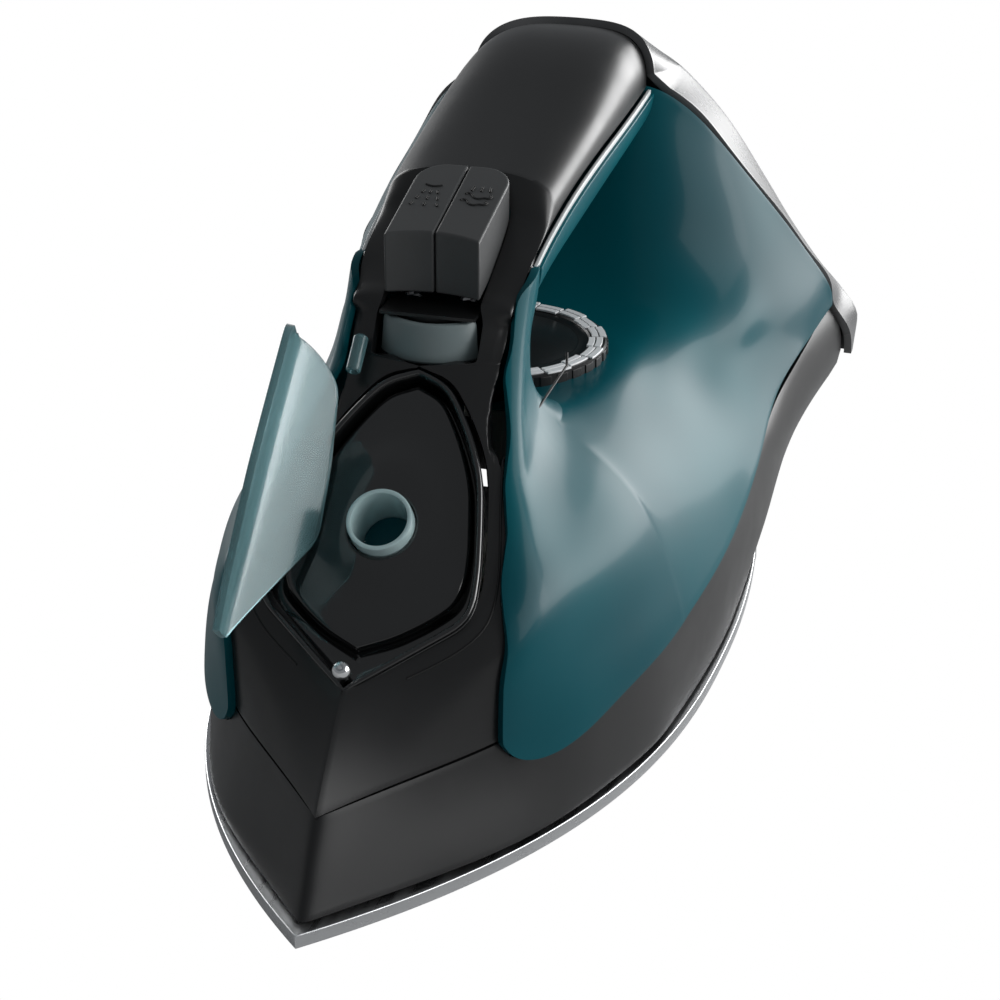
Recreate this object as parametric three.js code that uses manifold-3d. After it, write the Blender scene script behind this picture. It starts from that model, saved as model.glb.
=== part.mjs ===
// A household steam iron, modelled in millimetres with +Z up.
// The nose points to -Y, the heel to +Y, and X = 0 is the plane of symmetry.
// The origin is the middle of the footprint, on the surface that the sole stands on.
import * as THREE from 'three';
import { mergeVertices } from 'three/addons/utils/BufferGeometryUtils.js';
import Module from 'manifold-3d';

const wasm = await Module();
wasm.setup();

// ---- Driving sizes -------------------------------------------------------------------
const gap = 0.35;                // clearance between pieces that touch
const wall = 2.4;                // moulded plastic wall
const tankWall = 2.0;            // clear plastic wall of the water tank

const noseY = -134;              // tip of the sole
const heelY = 134;               // back of the heel, a flat face that the iron is stood on
const heelHalf = 69;             // half width over the heel feet
const topZ = 139.4;              // crown of the handle

const soleHalf = 59;             // half width of the soleplate
const soleLength = 229;
const soleWidest = 158;          // distance from the tip to the widest place
const solePower = 2.58;          // how full the nose of the sole outline is
const soleNarrowing = 7;         // how much each side comes in by the back edge
const soleCorner = 16;           // radius of the two back corners
const soleThick = 3.2;
const steamHole = 2.6;           // diameter of a steam vent

const skirtZ = 4.2;              // bottom of the plastic skirt
const skirtTipY = -131.6;        // the nose ridge at the bottom of the skirt
const capTipY = -119.6;          // the nose ridge where the skirt meets the cap
const capRidgeZ = 23;            // where the nose cap meets the skirt, on the ridge
const cornerY = -84.3;           // front corner of the water tank
const cornerHalf = 30.3;
const cornerZ = 27.6;

const faceTipY = -104.6;         // lower point of the sloping front face
const faceTipZ = 39.6;
const faceAngle = THREE.MathUtils.degToRad(41.7);
const faceLength = 85.5;         // along the slope, from the lower point to its top

const handleHalf = 21;           // half width of the handle at its parting line
const handleFrontY = -31;
const handleRearY = 85.5;        // where the handle meets the heel cover
const buttonHalf = 11.1;         // half width of the pair of buttons
const buttonDepth = 31;          // front to back
const buttonTravel = 2.5;

const heelBottomZ = 34;          // bottom edge of the heel cover
const rimTopY = 87.5;            // front edge of the heel cover, at rimTopZ
const rimTopZ = 125;
const rimLean = 0.5;             // how far that edge runs back for each millimetre down

const saddleZ = 73;              // floor of the finger gap
const saddleFrontY = -14.7;      // front wall of the finger gap
const dialY = 25.4;
const dialRadius = 26.4;
const dialTopZ = 77.5;
const dialHeight = 4.2;

const tubeS = 45.5;              // fill tube, along the slope
const tubeOuter = 7.4;
const tubeBore = 6.2;
const tubeProud = 2.8;           // how far the fill tube stands out of the slope
const nozzleS = 9.5;
const nozzleStem = 1.1;
const recessDepth = 7;
const dishWall = 1.6;

const lidHingeX = -14.6;         // the lid's hinge line runs up the slope
const lidOpen = 100;             // degrees, as modelled
const lidSlope = THREE.MathUtils.degToRad(27.4);
const lidThick = 1.8;

// ---- Materials -----------------------------------------------------------------------
const finish = (color, roughness, metalness = 0, opacity = 1) => new THREE.MeshStandardMaterial({
  color, roughness, metalness, opacity, transparent: opacity < 1,
});
const finishes = {
  black: () => finish(0x232324, 0.42),
  gloss: () => finish(0x0a0a0b, 0.1),
  heel: () => finish(0x3b3d3f, 0.35),
  teal: () => finish(0x0c5563, 0.12, 0, 0.85),
  paleTeal: () => finish(0x6fb0b3, 0.2, 0, 0.6),
  greyGrip: () => finish(0xb4b8b8, 0.4),
  collar: () => finish(0x5f6f70, 0.35),
  button: () => finish(0x565859, 0.5),
  silver: () => finish(0xd7d9da, 0.25, 0.6),
  steel: () => finish(0x9c9ea0, 0.3, 1),
  chrome: () => finish(0xe0e2e4, 0.08, 1),
  aluminium: () => finish(0xa9abad, 0.5, 1),
  rubber: () => finish(0x151516, 0.85),
  white: () => finish(0xd8d6cf, 0.5),
  brass: () => finish(0xb08d3f, 0.35, 1),
  clear: () => finish(0xe9532f, 0.15, 0, 0.8),
};

// ---- Solids --------------------------------------------------------------------------
function solid(geometry) {
  const bare = geometry.clone();
  bare.deleteAttribute('normal');
  bare.deleteAttribute('uv');
  const merged = mergeVertices(bare, 1e-4);
  return new wasm.Manifold(new wasm.Mesh({
    numProp: 3,
    vertProperties: new Float32Array(merged.attributes.position.array),
    triVerts: new Uint32Array(merged.index.array),
  }));
}

function geometryOf(manifold) {
  const mesh = manifold.getMesh();
  const geometry = new THREE.BufferGeometry();
  geometry.setAttribute('position', new THREE.BufferAttribute(new Float32Array(mesh.vertProperties), 3));
  geometry.setIndex(new THREE.BufferAttribute(new Uint32Array(mesh.triVerts), 1));
  return geometry;
}

const join = (...parts) => parts.reduce((whole, part) => whole.add(part));
const cut = (whole, ...tools) => tools.reduce((rest, tool) => rest.subtract(tool), whole);
const mirrored = (half) => [...half, ...half.filter(([x]) => x > 0).map(([x, s]) => [-x, s]).reverse()];

// An outline given as [y, z] points, extruded across X from x0 to x1.
const acrossX = new THREE.Matrix4().makeBasis(
  new THREE.Vector3(0, 1, 0), new THREE.Vector3(0, 0, 1), new THREE.Vector3(1, 0, 0));
function sideCut(points, x0 = -90, x1 = 90) {
  const shape = new THREE.Shape(points.map(([y, z]) => new THREE.Vector2(y, z)));
  const geometry = new THREE.ExtrudeGeometry(shape, { depth: x1 - x0, bevelEnabled: false });
  geometry.translate(0, 0, x0);
  return solid(geometry.applyMatrix4(acrossX));
}

// An outline given as [x, y] points, extruded up from z0 to z1.
function planCut(points, z0, z1) {
  const shape = new THREE.Shape(points.map(([x, y]) => new THREE.Vector2(x, y)));
  const geometry = new THREE.ExtrudeGeometry(shape, { depth: z1 - z0, bevelEnabled: false });
  return solid(geometry.translate(0, 0, z0));
}

function box(x0, x1, y0, y1, z0, z1) {
  const geometry = new THREE.BoxGeometry(x1 - x0, y1 - y0, z1 - z0);
  return solid(geometry.translate((x0 + x1) / 2, (y0 + y1) / 2, (z0 + z1) / 2));
}

// A solid of revolution about the vertical through (x, y); the profile is [radius, z].
function turned(profile, x, y, sides = 24) {
  const geometry = new THREE.LatheGeometry(profile.map(([r, z]) => new THREE.Vector2(r, z)), sides);
  return solid(geometry.rotateX(Math.PI / 2).translate(x, y, 0));
}
const disc = (radius, x, y, z0, z1, sides = 24) =>
  turned([[0, z0], [radius, z0], [radius, z1], [0, z1]], x, y, sides);

// A round bar that follows a curve.
function bar(curve, radius, steps, sides = 8) {
  const ring = Array.from({ length: sides }, (_, i) => {
    const a = (i / sides) * 2 * Math.PI;
    return new THREE.Vector2(radius * Math.cos(a), radius * Math.sin(a));
  });
  const geometry = new THREE.ExtrudeGeometry(new THREE.Shape(ring), { steps, extrudePath: curve });
  return solid(geometry);
}

// ---- Smooth lines through a few points, with no swing past them -------------------------
function smooth(points) {
  const rise = points.slice(1).map((p, i) => (p[1] - points[i][1]) / (p[0] - points[i][0]));
  const slope = points.map((p, i) => {
    if (i === 0) return rise[0];
    if (i === rise.length) return rise[i - 1];
    const [before, after] = [rise[i - 1], rise[i]];
    return before * after > 0 ? (2 * before * after) / (before + after) : 0;
  });
  return (t) => {
    const last = points.length - 2;
    const found = points.findIndex((p) => p[0] > t);
    const i = found < 0 ? last : Math.min(Math.max(found - 1, 0), last);
    const [t0, v0] = points[i];
    const [t1, v1] = points[i + 1];
    const span = t1 - t0;
    const u = Math.min(Math.max((t - t0) / span, 0), 1);
    const bend = u * (1 - u) * span * (slope[i] * (1 - u) - slope[i + 1] * u);
    return v0 + (v1 - v0) * u * u * (3 - 2 * u) + bend;
  };
}
const spread = (from, to, count) =>
  Array.from({ length: count + 1 }, (_, i) => from + ((to - from) * i) / count);

// ---- Outer form ----------------------------------------------------------------------
const faceTop = [faceTipY + faceLength * Math.cos(faceAngle),
  faceTipZ + faceLength * Math.sin(faceAngle)];
const ridgeY = smooth([[skirtZ, skirtTipY], [capRidgeZ, capTipY], [faceTipZ, faceTipY]]);
const faceY = (z) => faceTipY + (z - faceTipZ) / Math.tan(faceAngle);
const frontY = (z) => {
  if (z < faceTipZ) return ridgeY(z);
  if (z < faceTop[1]) return faceY(z);
  return faceTop[0] + (z - faceTop[1]) * 0.6;
};
const rearY = smooth([[skirtZ, 108], [22, 113], [34, 131], [42, heelY], [54, heelY], [66, 129], [78, 124.5],
  [92, 120], [108, 115], [126, 108]]);

// Half widths of the body at a few stations along it; each line is [height, value].
const stations = [
  { y: frontY, w: () => 0 },
  { y: smooth([[skirtZ, cornerY], [48, cornerY + 0.3], [66, -71], [78, -58], [92, -42], [108, -29],
      [126, -20]]),
    w: smooth([[skirtZ, 35.8], [cornerZ, cornerHalf], [40, 31], [54, 32], [66, 28.8], [78, 25.3], [92, 22.6],
      [108, 20.5], [126, 20]]) },
  { y: smooth([[skirtZ, -60], [54, -60], [66, -50], [78, -38], [92, -26], [126, -8]]),
    w: smooth([[skirtZ, 46.2], [28, 44.5], [40, 42.5], [54, 40], [66, 33.5], [78, 24], [88, 18.6],
      [96, 17.8], [108, 19.3], [126, 20]]) },
  { y: smooth([[skirtZ, -25], [66, -25], [78, -16], [92, -8], [126, 5]]),
    w: smooth([[skirtZ, 55], [28, 54.5], [40, 51.5], [54, 46.5], [66, 37], [74, 26], [80, 19.8],
      [88, 17.2], [98, 17.4], [108, 19.5], [126, 20]]) },
  { y: () => 25,
    w: smooth([[skirtZ, 57.8], [28, 59.8], [40, 56.5], [54, 48.5], [66, 38], [78, 28], [92, 24],
      [126, 20]]) },
  { y: () => 60,
    w: smooth([[skirtZ, 56.4], [28, 60.8], [40, 59.8], [54, 52], [66, 42], [78, 34], [92, 30], [126, 20]]) },
  { y: () => 88,
    w: smooth([[skirtZ, 53.2], [28, 60], [40, 62.5], [54, 60], [66, 54], [78, 49], [92, 42], [108, 31],
      [126, 21]]) },
  { y: rearY,
    w: smooth([[skirtZ, 45.4], [22, 53], [34, 63.5], [42, 68.5], [50, heelHalf], [58, 65.8], [66, 61],
      [78, 54.3], [92, 45.8], [108, 35.8], [120, 27.5], [126, 22]]) },
];

// The whole body as one closed skin, drawn in by an even distance on every side.
const bodyTopZ = 127;
function bodyForm(inset) {
  const rows = spread(skirtZ - 1, bodyTopZ, 15);
  const columns = spread(0, 1, 20).map((u) => u ** 1.5);
  const vertices = [];
  for (const z of rows) {
    const level = Math.max(z, skirtZ);
    const line = stations.map((s) => [s.y(level), s.w(level)]);
    const start = line[0][0];
    const end = line[line.length - 1][0] - inset;
    const half = (y) => Math.max(smooth(line)(y) - inset * 1.08, 0);
    let nose = start;
    while (half(nose) <= 0) nose += 0.05;
    nose = Math.max(nose, start + (inset > 0 ? inset : 0));
    for (const u of columns) {
      const y = nose + (end - nose) * u;
      const x = u === 0 && level < faceTipZ ? 0 : half(y);
      vertices.push([x, y, z], [-x, y, z]);
    }
  }
  const positions = [];
  const quad = (a, b, c, d) => positions.push(...[a, b, c, a, c, d].flatMap((i) => vertices[i]));
  const at = (row, column, side) => (row * columns.length + column) * 2 + side;
  const top = rows.length - 1;
  const back = columns.length - 1;
  for (let r = 0; r < top; r += 1) {
    for (let c = 0; c < back; c += 1) {
      quad(at(r, c, 0), at(r, c + 1, 0), at(r + 1, c + 1, 0), at(r + 1, c, 0));
      quad(at(r, c + 1, 1), at(r, c, 1), at(r + 1, c, 1), at(r + 1, c + 1, 1));
    }
    quad(at(r, back, 0), at(r, back, 1), at(r + 1, back, 1), at(r + 1, back, 0));
    quad(at(r, 0, 1), at(r, 0, 0), at(r + 1, 0, 0), at(r + 1, 0, 1));
  }
  for (let c = 0; c < back; c += 1) {
    quad(at(0, c, 1), at(0, c + 1, 1), at(0, c + 1, 0), at(0, c, 0));
    quad(at(top, c, 0), at(top, c + 1, 0), at(top, c + 1, 1), at(top, c, 1));
  }
  const geometry = new THREE.BufferGeometry();
  geometry.setAttribute('position', new THREE.Float32BufferAttribute(positions, 3));
  return solid(geometry);
}

// The handle, as sections across it from front to back.
const handleSeam = smooth([[-60, 97], [-30, 106], [-22, 112], [-3, 118], [24, 122.2], [48, 124], [84, 125.2],
  [112, 125.5]]);
const handleTop = smooth([[-42, 119], [handleFrontY, 123], [0, 128.6], [43, 135.6], [84, topZ],
  [98, topZ - 3.6], [112, topZ - 9.6]]);
const handleUnder = smooth([[-60, 88], [saddleFrontY, 100.5], [20, 104.5], [50, 108.5], [80, 111],
  [112, 111]]);
const handleWidth = smooth([[-42, 17], [handleFrontY, 18.5], [0, 20.2], [25, handleHalf], [84, 21.6],
  [112, 20]]);
function handleForm(inset, y0, y1) {
  const around = 16;
  const sections = spread(y0, y1, 11).map((y) => {
    const a = handleWidth(y) - inset;
    const seam = handleSeam(y);
    const up = handleTop(y) - inset - seam;
    const down = seam - handleUnder(y) - inset;
    return spread(0, around - 1, around - 1).map((i) => {
      const angle = (i / around) * 2 * Math.PI;
      const [c, s] = [Math.cos(angle), Math.sin(angle)];
      const round = (v) => Math.sign(v) * Math.abs(v) ** 0.72;
      return [a * round(c), y, seam + (s > 0 ? up : down) * round(s)];
    });
  });
  const positions = [];
  const push = (...points) => positions.push(...points.flat());
  for (let k = 0; k + 1 < sections.length; k += 1) {
    for (let i = 0; i < around; i += 1) {
      const j = (i + 1) % around;
      push(sections[k][i], sections[k + 1][i], sections[k + 1][j]);
      push(sections[k][i], sections[k + 1][j], sections[k][j]);
    }
  }
  const last = sections.length - 1;
  for (let i = 1; i + 1 < around; i += 1) {
    push(sections[0][0], sections[0][i], sections[0][i + 1]);
    push(sections[last][0], sections[last][i + 1], sections[last][i]);
  }
  const geometry = new THREE.BufferGeometry();
  geometry.setAttribute('position', new THREE.Float32BufferAttribute(positions, 3));
  return solid(geometry);
}

// ---- Parting lines, seen from the side as [y, z] ---------------------------------------
const lift = (points, dz) => points.map(([y, z]) => [y, z + dz]);
const rimY = (z) => rimTopY + rimLean * (rimTopZ - z);
const tankBottom = [[-81, 22.5], [-75, 20.5], [-64, 22], [-51, 25], [-32, 27.7], [-11, 30], [17, 33], [42, 38],
  [75, 49.5], [100, 56.5]];
const tankFront = [[cornerY, cornerZ], [-84.6, 40], [-80.5, 51], [-67.5, 65], [-53.5, 76], [-45, 82]];
const saddle = [[saddleFrontY, saddleZ + 8], [saddleFrontY + 2, saddleZ + 2.5], [saddleFrontY + 5.5, saddleZ],
  [54, saddleZ], [61, saddleZ + 2.2], [69, saddleZ + 8], [76, 91], [81, 103], [83.6, 116],
  [rimTopY - 0.2, rimTopZ + 0.5]];
const rimLow = [rimY(58.5), 58.5];

const body = cut(bodyForm(0), box(-90, 90, heelY, heelY + 20, 0, 170));
const bodyInner = bodyForm(wall);
const aboveSaddle = sideCut([...saddle, [rimTopY, 170], [saddleFrontY, 170]]);

// ---- Sole and heater -------------------------------------------------------------------
function soleLine(inset) {
  const nose = spread(0, 1, 12).map((t) => t ** 1.2).map((t) => [
    soleHalf * (1 - (1 - t) ** solePower), noseY + soleWidest * t]);
  const backY = noseY + soleLength;
  const rest = soleLength - soleWidest;
  const side = (y) => soleHalf - soleNarrowing * ((y - noseY - soleWidest) / rest) ** 2;
  const flank = [0.3, 0.6].map((t) => noseY + soleWidest + t * rest).map((y) => [side(y), y]);
  const corner = spread(0, Math.PI / 2, 5).map((a) => [
    side(backY - soleCorner) - soleCorner * (1 - Math.cos(a)), backY - soleCorner * (1 - Math.sin(a))]);
  const half = [...nose.slice(1), ...flank, ...corner].map(([x, y]) => {
    const toward = Math.hypot(x, y - 20);
    const scale = 1 - inset / toward;
    return [x * scale, 20 + (y - 20) * scale];
  });
  return mirrored([[0, noseY + inset], ...half]);
}
const ventRows = [[-104, [0]], [-84, [-13, 13]], [-62, [-25, 0, 25]], [-36, [-34, 34]], [-8, [-41, 41]],
  [22, [-44, 44]], [52, [-43, 43]]];
const vents = ventRows.flatMap(([y, across]) =>
  across.map((x) => disc(steamHole / 2, x, y, -1, soleThick + 1, 8)));
const sole = cut(planCut(soleLine(0), 0, soleThick), ...vents);
const screwRadius = 1.5;
const screwPlaces = [[0, -84], [-8, 66], [8, 66]];
const heaterZ0 = soleThick + gap;
const heaterZ1 = heaterZ0 + 7.5;
const screwHoles = screwPlaces.map(([x, y]) => disc(screwRadius + gap, x, y, heaterZ0 + 1.5, 30, 10));
const elementRadius = 3.4;
const elementCurve = new THREE.CatmullRomCurve3([[-17, 66], [-27, 30], [-25, -14], [-13, -56], [0, -72],
  [13, -56], [25, -14], [27, 30], [17, 66]].map(([x, y]) => new THREE.Vector3(x, y, heaterZ1)));
const heater = cut(
  planCut(soleLine(15), heaterZ0, heaterZ1),
  bar(elementCurve, elementRadius + gap, 30),
  box(-14, 14, 10, 42, heaterZ1 - 3, heaterZ1 + 1),
  ...screwHoles,
);
const element = bar(elementCurve, elementRadius, 30);
const coverZ0 = heaterZ1 + elementRadius + gap;
const coverZ1 = coverZ0 + 1.5;
const valveY = -25;
const valveRod = 1.6;
const shaftRadius = 3;
const chamberCover = cut(
  planCut(soleLine(26), coverZ0, coverZ1),
  disc(valveRod + gap, 0, valveY, coverZ0 - 1, coverZ1 + 1, 12),
  box(-14 - gap, 14 + gap, 10 - gap, 42 + gap, coverZ0 - 1, coverZ1 + 1),
  ...screwHoles,
);
const screws = screwPlaces.map(([x, y]) => join(
  disc(screwRadius, x, y, heaterZ0 + 2, coverZ1 + gap, 8),
  disc(screwRadius * 2, x, y, coverZ1 + gap, coverZ1 + gap + 1.8, 12)));
const thermostatZ1 = coverZ1 + 2.5;
const thermostat = box(-11, 11, dialY - 13, dialY + 13, heaterZ1 - 3 + gap, thermostatZ1);
const fuse = box(-9, 9, 54, 60, coverZ1 + gap, coverZ1 + gap + 4.5);
const insulatorThick = 2.4;
const insulator = cut(
  planCut(soleLine(8), soleThick + gap, soleThick + gap + insulatorThick),
  planCut(soleLine(15 - gap), 0, 20),
);

// ---- Skirt -----------------------------------------------------------------------------
const skirtTop = [[-140, capRidgeZ], [ridgeY(capRidgeZ), capRidgeZ], [cornerY - gap, cornerZ - gap],
  ...lift(tankBottom, -gap), [rimLow[0] - gap, rimLow[1] - gap - 0.6]];
const skirtBack = [[rimY(50) - gap, 50], [rimY(heelBottomZ) - 9, heelBottomZ], [116, 28], [113, skirtZ]];
const skirtRegion = sideCut([[-140, skirtZ], ...skirtTop, ...skirtBack]);
const skirtInside = sideCut([[-140, skirtZ - 3], [-140, capRidgeZ - wall],
  ...lift(skirtTop.slice(1, -1), -wall), [104, 44], [104, skirtZ - 3]]);
const shaftHole = (z0, z1) => disc(shaftRadius + gap, 0, dialY, z0, z1, 16);
const rodHole = (z0, z1) => disc(valveRod + gap, 0, valveY, z0, z1, 12);
const skirt = cut(body.intersect(skirtRegion), bodyInner.intersect(skirtInside),
  shaftHole(0, 60), rodHole(0, 60));

// ---- Frame on the sloping face: X across, s up the slope, n out of it -----------------
const onFace = new THREE.Matrix4().makeTranslation(0, faceTipY, faceTipZ)
  .multiply(new THREE.Matrix4().makeRotationX(faceAngle));
const facePoint = (x, s, n) => new THREE.Vector3(x, s, n).applyMatrix4(onFace);
function faceCut(points, n0, n1) {
  const shape = new THREE.Shape(points.map(([x, s]) => new THREE.Vector2(x, s)));
  const geometry = new THREE.ExtrudeGeometry(shape, { depth: n1 - n0, bevelEnabled: false });
  return solid(geometry.translate(0, 0, n0).applyMatrix4(onFace));
}
function faceDisc(radius, s, n0, n1, sides = 28) {
  const geometry = new THREE.LatheGeometry(
    [[0, n0], [radius, n0], [radius, n1], [0, n1]].map(([r, z]) => new THREE.Vector2(r, z)), sides);
  return solid(geometry.rotateX(Math.PI / 2).translate(0, s, 0).applyMatrix4(onFace));
}
const dishFloor = -recessDepth - dishWall;
// Right half of the recess outline, [x, s], drawn in by an even distance.
const recessLine = (inset) => mirrored([[0, 6 + inset * 1.3], [24.5 - inset, 26 + inset * 0.5],
  [24.2 - inset, 36], [22.4 - inset, 47], [20 - inset, 59], [16.3 - inset, 67.5],
  [12 - inset * 0.8, 75 - inset * 0.5], [7.6 - inset * 0.6, 81.2 - inset * 0.8], [0, 84.2 - inset]]);

// ---- Water tank ------------------------------------------------------------------------
const tankRegion = [...tankBottom.slice().reverse(), ...tankFront, [saddleFrontY - gap, 82],
  ...saddle, rimLow];
const tankNoseY = -90;
const underFace = (y, depth) => faceTipZ + (y - faceTipY) * Math.tan(faceAngle) - depth / Math.cos(faceAngle);
const noseTank = [[cornerY + 1, cornerZ + 1], [tankNoseY, cornerZ + 1],
  [tankNoseY, underFace(tankNoseY, recessDepth + 4)],
  [-44, underFace(-44, recessDepth + 4)], [-30, 79], [saddleFrontY - wall - gap, 79],
  [saddleFrontY - wall - gap, 60], [-60, 40]];
const drawnIn = (points, d) => {
  const shape = points.map(([y, z]) => new THREE.Vector2(y, z));
  const clockwise = THREE.ShapeUtils.isClockWise(shape) ? -1 : 1;
  return shape.map((p, i) => {
    const before = shape[(i + shape.length - 1) % shape.length];
    const after = shape[(i + 1) % shape.length];
    const a = p.clone().sub(before).normalize();
    const b = after.clone().sub(p).normalize();
    const normal = new THREE.Vector2(-(a.y + b.y), a.x + b.x).multiplyScalar(clockwise);
    const scale = d / Math.max(1 + a.dot(b), 0.5);
    return [p.x + normal.x * scale, p.y + normal.y * scale];
  });
};
const bodyHousing = bodyForm(wall + gap);
const bodyCavity = bodyForm(wall + gap + tankWall);
const bodyTank = bodyForm(tankWall);
const tankSolid = join(body.intersect(sideCut(tankRegion)), bodyHousing.intersect(sideCut(noseTank)));
const tankHollow = join(
  bodyTank.intersect(sideCut(drawnIn(tankRegion, tankWall))),
  bodyCavity.intersect(sideCut(drawnIn(noseTank, tankWall))),
);
const shaftPost = disc(shaftRadius + gap + 2, 0, dialY, 20, saddleZ + 6, 16);
const rodPost = disc(valveRod + gap + 1.8, 0, valveY, 20, saddleZ + 6, 12);
const fillHole = faceDisc(tubeOuter + gap, tubeS, -20, 5);
const dishRoom = faceCut(recessLine(-gap), dishFloor - gap, 20);
const dishShell = faceCut(recessLine(-gap - tankWall), dishFloor - gap - tankWall, 20);
const tank = cut(tankSolid, cut(tankHollow, shaftPost, rodPost, dishShell),
  shaftHole(10, 90), rodHole(10, 90), fillHole, dishRoom, aboveSaddle);

// ---- Upper housing: nose cap, hood and top of the handle in one moulding -----------------
const trimDeep = 2.2;            // height of the light strip under the handle's parting line
const seamLine = (y0, y1, dz) => spread(y0, y1, 18).map((y) => [y, handleSeam(y) + dz]);
const capRegion = sideCut([
  [-140, capRidgeZ + gap], [ridgeY(capRidgeZ), capRidgeZ + gap], [cornerY - gap, cornerZ + gap],
  ...tankFront.slice(1, -1).map(([y, z]) => [y - gap, z + gap]), [-46, 82 + gap], [saddleFrontY, 82 + gap],
  [saddleFrontY, handleSeam(saddleFrontY) + 1], [-22, 112], [-60, 112], [-140, 60]]);
const handleOuter = handleForm(0, -42, 112);
const handleHollow = handleForm(wall, -50, 112);
const aboveSeam = sideCut([...seamLine(-60, handleRearY - gap, 0), [handleRearY - gap, 170], [-60, 170]]);
const buttonFrontY = -31.5;
const buttonZ0 = 108.4;
const buttonWell = join(
  box(-buttonHalf - gap, buttonHalf + gap, -50, buttonFrontY + buttonDepth + gap, 104.6, 160),
  box(-buttonHalf - gap, buttonHalf + gap, -24, saddleFrontY - wall, 100, 105),
);
const selectorZ = [97.6, 104.2];
const selectorRadius = 13.2;
const selectorHub = 2.6;
const selectorBand = 2.4;        // thickness of the collar that the finger pushes
const collarSlot = box(-13, 13, -50, valveY - 4, selectorZ[0] - 0.6, 105);
const upperOuter = join(body.intersect(capRegion), handleOuter.intersect(aboveSeam));
const upperInner = join(
  bodyInner.intersect(sideCut([[-140, 18], [-60, 18], [saddleFrontY - wall, 60], [saddleFrontY - wall, 104],
    [-50, 104], [-140, 60]])),
  handleHollow.intersect(sideCut([...seamLine(-60, 100, -6), [100, 170], [-60, 170]])),
);
const recessHole = faceCut(recessLine(0), -20, 10);
const hingeRadius = 1.7;
const hingeRoom = faceCut(
  [[lidHingeX - 4, 61], [lidHingeX + 4, 61], [lidHingeX + 4, 91], [lidHingeX - 4, 91]], -6, 6);
const upperHousing = cut(upperOuter, upperInner, recessHole, buttonWell, collarSlot, hingeRoom);

// ---- Underside of the handle --------------------------------------------------------------
const behindRim = (offset) => sideCut([
  [rimY(20) + offset, 20], [rimY(126) + offset, 126], [rimY(126) + offset, 170],
  [180, 170], [180, 20]]);
const underSeam = -trimDeep - gap;
const gripFrontY = saddleFrontY + gap;
const gripRearY = handleRearY - gap;
const belowSaddle = sideCut([...saddle.map(([y, z]) => [y - gap, z + gap]), [rimTopY + 8, 126],
  [rimTopY + 8, 60], [saddleFrontY - 5, 60], [saddleFrontY - 5, 81]]);
const handleLiner = cut(
  handleOuter.intersect(sideCut([...seamLine(gripFrontY, gripRearY, underSeam), [gripRearY, 90],
    [gripFrontY, 90]])),
  handleHollow, behindRim(-gap), belowSaddle);
const trimBand = [...seamLine(gripFrontY, gripRearY, -gap),
  ...seamLine(gripFrontY, gripRearY, -trimDeep).reverse()];
const trimRing = cut(handleOuter, handleForm(wall - 0.5, -50, 112), belowSaddle);
const trimLeft = trimRing.intersect(sideCut(trimBand, -40, 0));
const trimRight = trimRing.intersect(sideCut(trimBand, 0, 40));

// ---- Heel ------------------------------------------------------------------------------------
const heelOuter = join(
  body.intersect(behindRim(gap)),
  handleOuter.intersect(sideCut([[handleRearY, 120], [108, 120], [104, 170], [handleRearY, 170]])),
);
const heelBottom = sideCut([[0, 0], [0, heelBottomZ], [200, heelBottomZ], [200, 0]]);
const heelInner = join(
  bodyInner.intersect(sideCut([[rimY(40) - 30, 40], [rimTopY - 30, 125], [108 - wall, 125], [131, 42]])),
  handleHollow.intersect(sideCut([[60, 100], [104, 100], [102, 170], [60, 170]])),
);
const footZ = [37, 57];
const footDeep = 3;
const footInnerX = 60;
const footSunk = 1.5;            // how far the rubber foot lies below the skin
function footBlock(side, room) {
  const [z0, z1] = [footZ[0] - room, footZ[1] + room];
  const outline = [[rimY(z1) + gap - room * 12, z1], [rimY(z0) + gap - room * 12, z0],
    [rimY(z0) + footDeep + room, z0], [rimY(z1) + footDeep + room, z1]];
  const across = side > 0 ? [footInnerX - room, 90] : [-90, -footInnerX + room];
  return sideCut(outline, ...across).intersect(bodyForm(footSunk - room));
}
const inletZ = 112;
const inletRadius = 6.2;
const inletBack = rearY(inletZ);
const acrossY = (radius, x, z, y0, y1, sides = 20) => {
  const geometry = new THREE.CylinderGeometry(radius, radius, y1 - y0, sides);
  return solid(geometry.translate(x, (y0 + y1) / 2, z));
};
const lensZ = 122;
const lensRadius = 2.4;
const lensHole = (radius, y0, y1) => acrossY(radius, 0, lensZ, y0, y1, 16);
const lens = lensHole(lensRadius, rearY(lensZ) - 4, rearY(lensZ) + 0.5);
const heelCover = cut(heelOuter, lensHole(lensRadius + gap, 100, 120), heelBottom, heelInner,
  footBlock(1, gap), footBlock(-1, gap), acrossY(inletRadius + gap, 0, inletZ, 60, 160),
  belowSaddle.intersect(behindRim(-9)));
const cordInlet = cut(
  join(acrossY(inletRadius, 0, inletZ, inletBack - 12, inletBack + 1.2),
    acrossY(inletRadius + 2, 0, inletZ, inletBack - 12, inletBack - 9.5)),
  acrossY(3.6, 0, inletZ, 60, 160, 14),
);

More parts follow.
